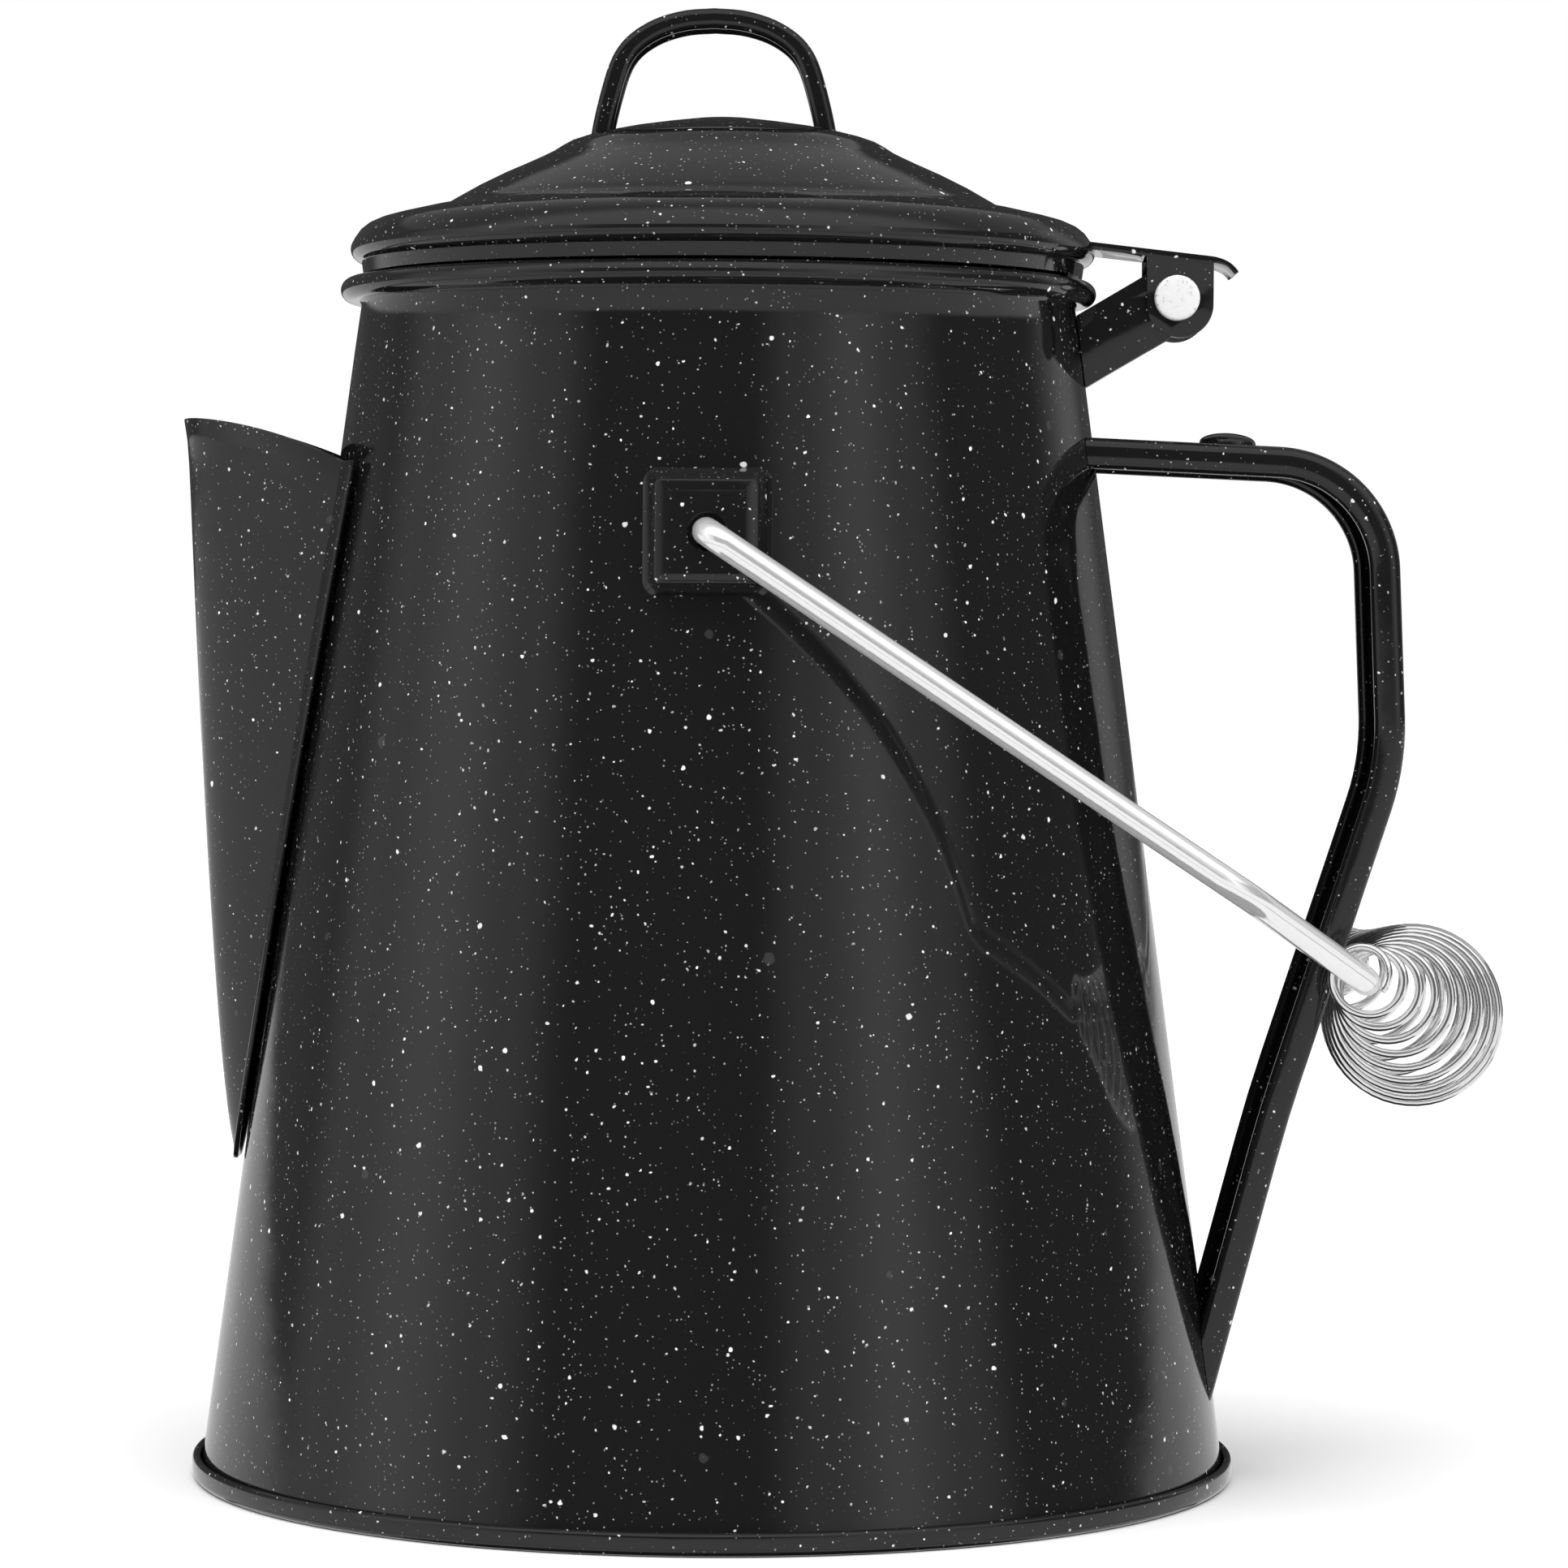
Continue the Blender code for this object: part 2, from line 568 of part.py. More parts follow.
def bail_wire():
    """Ends turned into the ears, two arms, and a straight middle that the coil hangs on."""
    middle = []
    for y in (0.0385, 0.032, 0.025, 0.016, 0.006):
        inset = COIL_WIRE_R + BAIL_WIRE_R + GAP + WIRE_DIP * (y / GRIP_HALF) ** 4
        middle.append(Vector((grip_inner(y) + inset, y)))
    elbow = (middle[0].x, BAIL_ELBOW_Y)
    corners = [(0.0, EAR_FACE_Y - 0.0048), (0.0, BAIL_ARM_Y), BAIL_CORNER, elbow, middle[0]]
    half = rounded_path(corners, [0.0045, 0.0120, 0.0040])[:-1] + middle
    path = [Vector((p.x, -p.y)) for p in half] + half[::-1]
    points = []
    for p in path:
        sag = max(0.0, (p.x - BAIL_CORNER[0]) / (elbow[0] - BAIL_CORNER[0]))
        lift = grip_lift(p.y) if abs(p.y) < GRIP_HALF else -GRIP_END_SAG * min(1.0, sag)
        points.append(bail_point(p.x, p.y, lift))
    return tube("bail_wire", points, BAIL_WIRE_R, WIRE)


def coil_grip():
    """A barrel-shaped coil whose turns all rest on the wire with their near side."""
    half_length = GRIP_HALF - COIL_WIRE_R
    count = COIL_TURNS * 12
    points = []
    for i in range(count + 1):
        y = half_length * (2 * i / count - 1)
        radius = coil_radius(y)
        turn = 2 * math.pi * COIL_TURNS * i / count
        out, lift = radius * math.cos(turn), radius * math.sin(turn)
        tilt = turn_tilt(y)
        points.append(bail_point(grip_along(y) + out * math.cos(tilt), y + out * math.sin(tilt),
                                 grip_lift(y) + lift))
    return tube("coil_grip", points, COIL_WIRE_R, WIRE, 1)


# ---- pump and basket ------------------------------------------------------------------------
def pump_stem():
    tube_wall, foot = 0.0008, BELL_TOP_Z - 0.0080
    outline = [(STEM_R, STEM_TOP_Z), (STEM_R, foot), (STEM_R - tube_wall, foot),
               (STEM_R - tube_wall, STEM_TOP_Z)]
    return turned("pump_stem", outline, ALUMINIUM, True, 20)


def pump_bell():
    """Flared foot that stands on the floor and feeds steam and water up the stem."""
    low, wall, bore = FLOOR_T + GAP, 0.0010, STEM_R + GAP
    outline = [(bore + 0.0015, BELL_TOP_Z), (bore + 0.0015, BELL_TOP_Z - 0.0070), (0.016, 0.0165),
               (0.028, 0.0125), (0.036, 0.0070), (BELL_R, low + 0.0012), (BELL_R, low),
               (BELL_R - 0.0016, low), (0.0350, 0.0062), (0.0276, 0.0114), (0.0157, 0.0153),
               (bore, BELL_TOP_Z - 0.0085), (bore, BELL_TOP_Z)]
    return turned("pump_bell", outline, ALUMINIUM, True, 32)


def stem_collar():
    """Crimped ring that the basket stands on."""
    bore = STEM_R + GAP
    outline = [(bore + 0.0022, COLLAR_Z + 0.0040), (bore + 0.0030, COLLAR_Z + 0.0020),
               (bore + 0.0022, COLLAR_Z), (bore, COLLAR_Z), (bore, COLLAR_Z + 0.0040)]
    return turned("stem_collar", outline, ALUMINIUM, True, 20)


def ring_of_holes(name, rings, hole_r, z, depth):
    """Cutters on circles: each ring is (radius, number of holes)."""
    bm = bmesh.new()
    for radius, count in rings:
        for i in range(count):
            a = 2 * math.pi * (i + 0.5) / count
            place = Matrix.Translation((radius * math.cos(a), radius * math.sin(a), z))
            bmesh.ops.create_cone(bm, cap_ends=True, segments=6, radius1=hole_r, radius2=hole_r,
                                  depth=depth, matrix=place)
    return finish(from_bmesh(name, bm), ALUMINIUM, CUTTERS)


def coffee_basket():
    """Perforated cup with a chimney that slides on the stem."""
    bore, wall, z0 = STEM_R + 0.0007, 0.0009, BASKET_BOTTOM_Z
    top = z0 + BASKET_H
    outline = [(bore, z0), (bore, z0 + 0.0400), (bore + wall, z0 + 0.0400), (bore + wall, z0 + wall),
               (BASKET_R - 0.0040, z0 + wall), (BASKET_R - wall - 0.0010, z0 + 0.0040),
               (BASKET_R - wall, top), (BASKET_R + 0.0012, top), (BASKET_R + 0.0012, top - 0.0018),
               (BASKET_R, top - 0.0018), (BASKET_R - 0.0010, z0 + 0.0032), (BASKET_R - 0.0034, z0)]
    basket = turned("coffee_basket", outline, ALUMINIUM, True, 40)
    return combine(basket, ring_of_holes("basket_holes", BASKET_RINGS, BASKET_HOLE_R, z0, 0.004))


def basket_lid():
    """Perforated spreader that sits on the basket's rim."""
    bore, wall, z0 = STEM_R + 0.0007, 0.0009, BASKET_BOTTOM_Z + BASKET_H + GAP
    outline = [(bore, z0 - 0.0030), (bore, z0 + wall - 0.0030), (BASKET_R - 0.0060, z0 + wall - 0.0030),
               (BASKET_R - 0.0035, z0 + wall), (BASKET_R + 0.0008, z0 + wall),
               (BASKET_R + 0.0008, z0), (BASKET_R - 0.0031, z0), (BASKET_R - 0.0056, z0 - 0.0030)]
    spreader = turned("basket_lid", outline[::-1], ALUMINIUM, True, 40)
    holes = ring_of_holes("spreader_holes", BASKET_RINGS, BASKET_HOLE_R, z0 - 0.0026, 0.006)
    return combine(spreader, holes)


def build():
    cone = body_cone("wall_cutter", GAP)
    pot_body()
    pot_base()
    spout()
    strap_handle(cone)
    handle_button()
    for side in (-1, 1):
        bail_ear(side, cone)
    hinge_bracket(cone)
    hinge_leaf()
    hinge_pin()
    lid()
    lid_handle()
    bail_wire()
    coil_grip()
    pump_stem()
    pump_bell()
    stem_collar()
    coffee_basket()
    basket_lid()


build()
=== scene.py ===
"""Looks of the coffee percolator: black speckled enamel, bright wire and a plain aluminium insert.

Every piece stands for one CAD node and rides on that node's body.  Lengths are in metres, +Z is
up, the spout points along -X and the strap handle along +X.
"""
import math

import bmesh
import bpy
from mathutils import Matrix, Vector


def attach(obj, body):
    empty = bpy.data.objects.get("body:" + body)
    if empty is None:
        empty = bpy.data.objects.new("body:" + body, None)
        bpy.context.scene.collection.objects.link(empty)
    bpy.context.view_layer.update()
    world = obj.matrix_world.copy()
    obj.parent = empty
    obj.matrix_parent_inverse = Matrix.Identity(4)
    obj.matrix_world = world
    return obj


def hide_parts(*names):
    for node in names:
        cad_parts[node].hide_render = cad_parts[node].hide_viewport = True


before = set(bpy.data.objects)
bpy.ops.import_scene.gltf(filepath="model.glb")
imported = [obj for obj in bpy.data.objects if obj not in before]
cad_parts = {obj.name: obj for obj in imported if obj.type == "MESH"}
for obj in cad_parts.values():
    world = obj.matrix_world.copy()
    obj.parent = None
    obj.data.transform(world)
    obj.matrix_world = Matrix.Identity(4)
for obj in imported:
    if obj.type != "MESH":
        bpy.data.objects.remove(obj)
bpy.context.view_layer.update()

# ---- dimensions shared with the frame -----------------------------------------------------
BODY_FOOT_R, BODY_TAPER, BODY_FOOT_Z = 0.1004, 0.134, 0.0015
SHEET = 0.0010
RIM_Z, RIM_R, RIM_BEAD, MOUTH_R = 0.2310, 0.0738, 0.0023, 0.0683
BASE_R, BASE_H, FLOOR_T = 0.1020, 0.0043, 0.0012
SPOUT_FOOT_Z, SPOUT_TIP_Z, SPOUT_CORNER_Z = 0.061, 0.2062, 0.1972
SPOUT_FLANGE = 0.0060
SPOUT_HALF_W, SPOUT_SPREAD = 0.0263, 0.62       # half the width at its tip, and how it opens
SPOUT_ROOT_X, SPOUT_REACH, SPOUT_BOW = 0.0926, 0.0105, 0.56
SPOUT_FLICK, SPOUT_FLICK_POWER = 0.0007, 40     # the last flick outwards at the tip
LID_TOP_Z, LID_BOTTOM_Z, LID_BEAD_R = 0.2654, 0.2336, 0.0727
SKIRT_R, SKIRT_Z, LID_SHIFT = 0.0672, 0.2285, 0.0008
HINGE_X, HINGE_Z, HINGE_EAR_Y, HINGE_SHEET = 0.0891, 0.2301, 0.0100, 0.0014
PIN_R, PIN_HEAD_R = 0.0024, 0.0044
BRACKET_LEAN, BRACKET_R, BRACKET_RISE, BRACKET_ROOT = 30.7, 0.00645, 0.00055, 0.028
HANDLE_W, HANDLE_D = 0.0360, 0.0060
HANDLE_PATH = [(0.0640, 0.2032), (0.1313, 0.2003), (0.1338, 0.1398), (0.1116, 0.0715),
               (0.0932, 0.0020)]
HANDLE_RADII = [0.0245, 0.052, 0.300]
LID_HANDLE_W, LID_HANDLE_D, LID_HANDLE_TOP_Z = 0.0120, 0.0040, 0.2863
LID_HANDLE_SHIFT = -0.0010
EAR_Z, EAR_FACE_Y, EAR_HALF, EAR_HOLE_R = 0.1833, 0.0822, 0.0097, 0.0036
BAIL_REST = math.radians(33.64)
BAIL_WIRE_R, BAIL_ARM_Y, BAIL_CORNER, BAIL_ELBOW_Y = 0.0026, 0.0890, (0.1180, 0.0860), 0.0425
WIRE_DIP = 0.0033
COIL_WIRE_R, COIL_END_R, COIL_MID_R, COIL_TURNS = 0.00085, 0.0054, 0.01725, 18
GRIP_HALF, GRIP_INNER, GRIP_TUCK = 0.0400, 0.1483, 0.0069
GRIP_SAG, GRIP_END_SAG, TURN_LEAN = 0.0014, 0.0008, 0.3
STEM_R, STEM_TOP_Z, BELL_R, BELL_TOP_Z = 0.0048, 0.2440, 0.0400, 0.0270
COLLAR_Z, BASKET_R, BASKET_H = 0.1480, 0.0500, 0.0600
BASKET_BOTTOM_Z = COLLAR_Z + 0.0043
GAP = 0.0003                # play between neighbouring pieces
BITE = 0.0001               # how far a cut stays off the face it follows
FINE = 192                  # facets round the big turned shells


def wall_radius(z):
    """Outer radius of the pot's wall at a height."""
    return BODY_FOOT_R - BODY_TAPER * z


def linked(name, data):
    """A new object in the scene, holding a mesh, a camera or a light."""
    obj = bpy.data.objects.new(name, data)
    bpy.context.scene.collection.objects.link(obj)
    return obj


def from_bmesh(name, bm):
    mesh = bpy.data.meshes.new(name)
    bm.to_mesh(mesh)
    bm.free()
    return linked(name, mesh)


# ---- camera, light and floor ----------------------------------------------------------------
CAMERA_LENS, CAMERA_PLACE = 124.6, (0.0256, -1.0653, 0.1682)
CAMERA_PITCH, CAMERA_YAW, CAMERA_ROLL = math.radians(1.78), math.radians(0.66), math.radians(0.33)


def make_camera():
    """The photo's viewpoint: a long lens a metre in front, looking slightly down."""
    data = bpy.data.cameras.new("camera")
    data.sensor_width = 36.0
    data.lens = CAMERA_LENS
    data.clip_start, data.clip_end = 0.05, 30.0
    camera = linked("camera", data)
    face = Matrix.Rotation(CAMERA_YAW, 4, "Z") @ Matrix.Rotation(math.pi / 2 - CAMERA_PITCH, 4, "X")
    place = Matrix.Translation(CAMERA_PLACE)
    camera.matrix_world = place @ face @ Matrix.Rotation(CAMERA_ROLL, 4, "Z")
    bpy.context.scene.camera = camera


class Nodes:
    """Short names for making and linking shader nodes."""

    def __init__(self, tree):
        self.tree = tree

    def add(self, kind, **values):
        """A new node, with values for its input sockets by name."""
        node = self.tree.nodes.new(kind)
        for name, value in values.items():
            node.inputs[name].default_value = value
        return node

    def link(self, source, target):
        self.tree.links.new(source, target)

    def math(self, operation, a, b=0.0, c=0.0):
        node = self.tree.nodes.new("ShaderNodeMath")
        node.operation = operation
        for socket, value in zip(node.inputs, (a, b, c)):
            if isinstance(value, bpy.types.NodeSocket):
                self.link(value, socket)
            else:
                socket.default_value = value
        return node.outputs[0]

    def vector(self, operation, a, b=(0, 0, 0), scale=None):
        node = self.tree.nodes.new("ShaderNodeVectorMath")
        node.operation = operation
        for socket, value in zip(node.inputs, (a, b)):
            if isinstance(value, bpy.types.NodeSocket):
                self.link(value, socket)
            else:
                socket.default_value = value
        if scale is not None:
            node.inputs["Scale"].default_value = scale
        return node.outputs["Vector"]

    def noise(self, place, scale, detail):
        node = self.add("ShaderNodeTexNoise", Scale=scale, Detail=detail)
        self.link(place, node.inputs["Vector"])
        return node

    def bump(self, height, shader, strength, distance):
        node = self.add("ShaderNodeBump", Strength=strength, Distance=distance)
        self.link(height, node.inputs["Height"])
        self.link(node.outputs["Normal"], shader.inputs["Normal"])

    def ramp(self, value, stops, interpolation="EASE"):
        node = self.tree.nodes.new("ShaderNodeValToRGB")
        node.color_ramp.interpolation = interpolation
        elements = node.color_ramp.elements
        while len(elements) < len(stops):
            elements.new(0.5)
        for element, (position, _) in zip(elements, stops):
            element.position = position
        for element, (_, level) in zip(elements, stops):
            element.color = grey(level)
        self.link(value, node.inputs["Fac"])
        return node.outputs["Color"]

    def mix(self, factor, a, b):
        node = self.tree.nodes.new("ShaderNodeMix")
        node.data_type = "RGBA"
        for socket, value in ((node.inputs[0], factor), (node.inputs[6], a), (node.inputs[7], b)):
            if isinstance(value, bpy.types.NodeSocket):
                self.link(value, socket)
            else:
                socket.default_value = value
        return node.outputs[2]


def grey(level):
    return (level, level, level, 1.0)


# Brightness of the studio round the horizon: (degrees from the front, level), right is positive.
WALLS = [(-180, 0.04), (-152, 0.10), (-118, 0.18), (-98, 0.55), (-74, 0.95), (-52, 0.60),
         (-34, 0.12), (10, 0.10), (26, 0.50), (44, 0.95), (60, 0.55), (78, 0.13), (112, 0.10),
         (136, 0.45), (156, 0.10), (180, 0.04)]
# The rest is set by height, as half of one plus the sine of the elevation: (height, level).
TABLE = [(0.0, 0.02), (0.095, 0.04), (0.115, 0.85), (0.290, 0.85), (0.298, 0.12), (0.310, 0.12),
         (0.320, 0.85), (0.46, 0.80), (0.50, 0.70)]
OVER_TABLE = [(0.0, 0.0), (0.485, 0.0), (0.50, 1.0)]
OVER_WALLS = [(0.0, 0.0), (0.725, 0.0), (0.755, 1.0)]
# Brightness overhead: (half of one plus the depth, level), bright in front and dim behind.
SKY = [(0.0, 1.0), (0.40, 1.0), (0.58, 0.32)]
FLOOR_SIZE, FLOOR_DROP, FLOOR_GREY = 6.0, 0.0001, 0.92


def make_world():
    """The studio that the pot reflects; the camera itself sees plain white."""
    world = bpy.data.worlds.new("studio")
    bpy.context.scene.world = world
    world.use_nodes = True
    n = Nodes(world.node_tree)
    background = world.node_tree.nodes["Background"]
    split = n.add("ShaderNodeSeparateXYZ")
    n.link(n.add("ShaderNodeTexCoord").outputs["Generated"], split.inputs[0])
    x, y, z = split.outputs
    turn = n.math("ARCTAN2", x, n.math("MULTIPLY", y, -1.0))
    share = n.math("MULTIPLY_ADD", turn, 0.5 / math.pi, 0.5)
    walls = n.ramp(share, [((angle + 180) / 360, level) for angle, level in WALLS])
    height = n.math("MULTIPLY_ADD", z, 0.5, 0.5)
    sky = n.ramp(n.math("MULTIPLY_ADD", y, 0.5, 0.5), SKY)
    room = n.mix(n.ramp(height, OVER_WALLS), walls, sky)
    room = n.mix(n.ramp(height, OVER_TABLE), n.ramp(height, TABLE, "LINEAR"), room)
    seen = n.add("ShaderNodeLightPath").outputs["Is Camera Ray"]
    n.link(n.mix(seen, room, grey(1.0)), background.inputs["Color"])
    background.inputs["Strength"].default_value = 1.0


def make_floor():
    bm = bmesh.new()
    bmesh.ops.create_circle(bm, cap_ends=True, segments=64, radius=FLOOR_SIZE)
    floor = from_bmesh("floor", bm)
    floor.location = (0, 0, -FLOOR_DROP)
    material, _, shader = new_material("floor")
    shader.inputs["Base Color"].default_value = grey(FLOOR_GREY)
    shader.inputs["Roughness"].default_value = 0.8
    shader.inputs["Specular IOR Level"].default_value = 0.0
    floor.data.materials.append(material)
    floor.visible_glossy = False


def make_sky_light():
    """A broad soft light from above, for the floor and the tops."""
    data = bpy.data.lights.new("sky_light", "SUN")
    data.energy = 2.8
    data.angle = math.radians(90)
    light = linked("sky_light", data)
    light.rotation_euler = (math.radians(12), 0, 0)
    light.visible_glossy = False


# ---- materials --------------------------------------------------------------------------------
def new_material(name):
    material = bpy.data.materials.new(name)
    material.use_nodes = True
    tree = material.node_tree
    return material, Nodes(tree), tree.nodes["Principled BSDF"]


# Specks from the finest up: (cells per metre, spot radius in cells, share of cells with a spot,
# soft edge, spread of tones, lowest tone, brightness).
SPECKS = [(1050.0, 0.220, 0.42, 0.60, 0.60, 0.15, 0.60), (640.0, 0.150, 0.42, 0.40, 0.75, 0.15, 0.85),
          (410.0, 0.125, 0.62, 0.25, 0.70, 0.35, 0.95), (190.0, 0.105, 0.34, 0.25, 0.40, 0.70, 0.98)]
UNBENT_CELLS = 1000.0       # cells finer than this keep their round spots
DULL_CELLS, DULL_R, DULL_SHARE, DULL_TONE = 95.0, 0.105, 0.30, 0.55
BLACK, DULL_GREY = 0.0075, 0.055


def specks(n, place, scale, radius, keep, soft=0.25):
    """Round spots on a random share of a cell pattern's points, and a random tone for each."""
    cells = n.add("ShaderNodeTexVoronoi", Scale=scale, Randomness=1.0)
    n.link(place, cells.inputs["Vector"])
    chance = n.add("ShaderNodeSeparateColor")
    n.link(cells.outputs["Color"], chance.inputs[0])
    size = n.math("MULTIPLY_ADD", chance.outputs[1], 0.6 * radius, 0.55 * radius)
    inside = n.math("DIVIDE", n.math("SUBTRACT", size, cells.outputs["Distance"]), soft * radius)
    inside = n.math("MINIMUM", n.math("MAXIMUM", inside, 0.0), 1.0)
    kept = n.math("LESS_THAN", chance.outputs[0], keep)
    return n.math("MULTIPLY", inside, kept), chance.outputs[2]


def enamel():
    """Black glass with white specks of several sizes, a few dull grey ones, and a wavy gloss."""
    material, n, shader = new_material("speckled_enamel")
    place = n.add("ShaderNodeTexCoord").outputs["Object"]
    ripple = n.noise(place, 900.0, 2.0).outputs["Color"]
    offset = n.vector("SUBTRACT", ripple, (0.5, 0.5, 0.5))
    bent = n.vector("ADD", place, n.vector("SCALE", offset, scale=0.0009))
    dull = specks(n, bent, DULL_CELLS, DULL_R, DULL_SHARE)[0]
    colour = n.mix(n.math("MULTIPLY", dull, DULL_TONE), grey(BLACK), grey(DULL_GREY))
    for cells, radius, share, soft, spread, lowest, level in SPECKS:
        where = place if cells > UNBENT_CELLS else bent
        spots, chance = specks(n, where, cells, radius, share, soft)
        tone = n.math("MULTIPLY_ADD", chance, spread, lowest)
        colour = n.mix(n.math("MULTIPLY", spots, tone), colour, grey(level))
    n.link(colour, shader.inputs["Base Color"])
    rough = n.add("ShaderNodeMapRange")
    for socket, value in (("From Min", 0.3), ("From Max", 0.75), ("To Min", 0.05), ("To Max", 0.09)):
        rough.inputs[socket].default_value = value
    n.link(n.noise(place, 38.0, 3.0).outputs["Fac"], rough.inputs["Value"])
    n.link(rough.outputs[0], shader.inputs["Roughness"])
    wave = n.noise(place, 55.0, 1.0).outputs["Fac"]
    peel = n.noise(place, 420.0, 1.0).outputs["Fac"]
    n.bump(n.math("MULTIPLY_ADD", wave, 1.0, n.math("MULTIPLY", peel, 0.06)), shader, 0.25, 0.0005)
    shader.inputs["IOR"].default_value = 1.5
    return material


def bright_wire(name, metallic):
    """Plated wire with a faint mottle in its gloss."""
    material, n, shader = new_material(name)
    place = n.add("ShaderNodeTexCoord").outputs["Object"]
    mottle = n.noise(place, 700.0, 3.0).outputs["Fac"]
    n.link(n.math("MULTIPLY_ADD", mottle, 0.10, 0.03), shader.inputs["Roughness"])
    n.link(n.mix(mottle, grey(0.90), grey(0.98)), shader.inputs["Base Color"])
    shader.inputs["Metallic"].default_value = metallic
    n.bump(mottle, shader, 0.12, 0.0002)
    return material


def rivet_steel():
    """Hammered bright steel with small dark pits."""
    material, n, shader = new_material("rivet_steel")
    place = n.add("ShaderNodeTexCoord").outputs["Object"]
    pits = n.noise(place, 1300.0, 4.0).outputs["Fac"]
    n.link(n.ramp(pits, [(0.30, 0.45), (0.40, 0.90), (1.0, 1.0)]), shader.inputs["Base Color"])
    shader.inputs["Metallic"].default_value = 0.15
    shader.inputs["Roughness"].default_value = 0.45
    n.bump(pits, shader, 0.35, 0.0002)
    return material


def spun_aluminium():
    """Spun sheet: fine rings round the axis, with a little staining."""
    material, n, shader = new_material("spun_aluminium")
    place = n.add("ShaderNodeTexCoord").outputs["Object"]
    split = n.add("ShaderNodeSeparateXYZ")
    n.link(place, split.inputs[0])
    x, y, z = split.outputs
    radius = n.math("SQRT", n.math("ADD", n.math("MULTIPLY", x, x), n.math("MULTIPLY", y, y)))
    ring = n.add("ShaderNodeCombineXYZ")
    n.link(radius, ring.inputs[0])
    n.link(z, ring.inputs[1])
    lines = n.noise(ring.outputs[0], 1800.0, 2.0).outputs["Fac"]
    stain = n.noise(place, 45.0, 5.0).outputs["Fac"]
    n.link(n.mix(stain, grey(0.62), grey(0.86)), shader.inputs["Base Color"])
    shader.inputs["Metallic"].default_value = 1.0
    n.link(n.math("MULTIPLY_ADD", lines, 0.25, 0.20), shader.inputs["Roughness"])
    n.bump(lines, shader, 0.25, 0.0002)
    return material


LOOKS = {"enamel": enamel(), "wire": bright_wire("bright_wire", 0.65), "rivet": rivet_steel(),
         "insert": spun_aluminium()}
COIL_LOOK = bright_wire("bright_coil", 1.0)


# ---- mesh helpers -------------------------------------------------------------------------------
def arc(cx, cy, radius, start, end, count):
    """Points of a circle's arc, from one angle to another in degrees."""
    turn = [math.radians(start + (end - start) * i / count) for i in range(count + 1)]
    return [(cx + radius * math.cos(a), cy + radius * math.sin(a)) for a in turn]


def shade(obj, edge_angle):
    """Smooth shading, sharp at edges that turn by more than the angle in degrees."""
    obj.data.shade_smooth()
    obj.data.set_sharp_from_angle(angle=math.radians(edge_angle))


def rounded_path(corners, radii, step):
    """A 2D path through corners, each inner corner rounded by its radius."""
    points = [Vector(corners[0])]
    for before, corner, after, radius in zip(corners, corners[1:], corners[2:], radii):
        corner = Vector(corner)
        back = (Vector(before) - corner).normalized()
        ahead = (Vector(after) - corner).normalized()
        half = back.angle(ahead) / 2
        centre = corner + (back + ahead).normalized() * (radius / math.sin(half))
        reach = radius / math.tan(half)
        first, last = corner + back * reach, corner + ahead * reach
        sweep = math.pi - 2 * half
        count = max(2, round(sweep / math.radians(step)))
        u, v = first - centre, last - centre
        for i in range(count + 1):
            t = i / count
            blend = u * math.sin((1 - t) * sweep) + v * math.sin(t * sweep)
            points.append(centre + blend / math.sin(sweep))
    points.append(Vector(corners[-1]))
    return points


def spaced(points, step):
    """The same path with extra points on its long straight stretches."""
    result = [Vector(points[0])]
    for a, b in zip(points, points[1:]):
        a, b = Vector(a), Vector(b)
        count = max(1, round((b - a).length / step))
        result += [a.lerp(b, (i + 1) / count) for i in range(count)]
    return result


def curve_through(knots, per_span):
    """A smooth path through knots (Catmull-Rom)."""
    knots = [Vector(k) for k in knots]
    padded = [2 * knots[0] - knots[1]] + knots + [2 * knots[-1] - knots[-2]]
    points = []
    for a, b, c, d in zip(padded, padded[1:], padded[2:], padded[3:]):
        for i in range(per_span):
            t = i / per_span
            points.append(0.5 * (2 * b + (c - a) * t + (2 * a - 5 * b + 4 * c - d) * t * t
                                 + (3 * b - 3 * c + d - a) * t ** 3))
    return points + [knots[-1]]


def mesh_object(name, verts, faces, edge_angle):
    """A shaded object with merged vertices and outward faces."""
    mesh = bpy.data.meshes.new(name)
    mesh.from_pydata([tuple(v) for v in verts], [], faces)
    bm = bmesh.new()
    bm.from_mesh(mesh)
    bmesh.ops.remove_doubles(bm, verts=bm.verts, dist=1e-7)
    bmesh.ops.recalc_face_normals(bm, faces=bm.faces)
    bm.to_mesh(mesh)
    bm.free()
    obj = linked(name, mesh)
    shade(obj, edge_angle)
    return obj


def turned(name, outline, closed=True, steps=FINE, edge_angle=38):
    """A turned piece from its (radius, height) outline."""
    verts, rings = [], []
    for r, z in outline:
        if r < 1e-7:
            rings.append([len(verts)] * steps)
            verts.append((0, 0, z))
        else:
            rings.append(list(range(len(verts), len(verts) + steps)))
            verts += [(r * math.cos(2 * math.pi * k / steps), r * math.sin(2 * math.pi * k / steps), z)
                      for k in range(steps)]
    pairs = list(zip(rings, rings[1:])) + ([(rings[-1], rings[0])] if closed else [])
    faces = []
    for low, high in pairs:
        for k in range(steps):
            m = (k + 1) % steps
            face = list(dict.fromkeys((low[k], low[m], high[m], high[k])))
            if len(face) > 2:
                faces.append(face)
    return mesh_object(name, verts, faces, edge_angle)


def lofted(name, rings, edge_angle=38):
    """A closed solid through rings of points, capped at both ends."""
    count = len(rings[0])
    verts = [p for ring in rings for p in ring]
    faces = [tuple(range(count)), tuple(range(len(verts) - count, len(verts)))]
    for i in range(len(rings) - 1):
        for j in range(count):
            k = (j + 1) % count
            a, b = i * count, (i + 1) * count
            faces.append((a + j, a + k, b + k, b + j))
    return mesh_object(name, verts, faces, edge_angle)


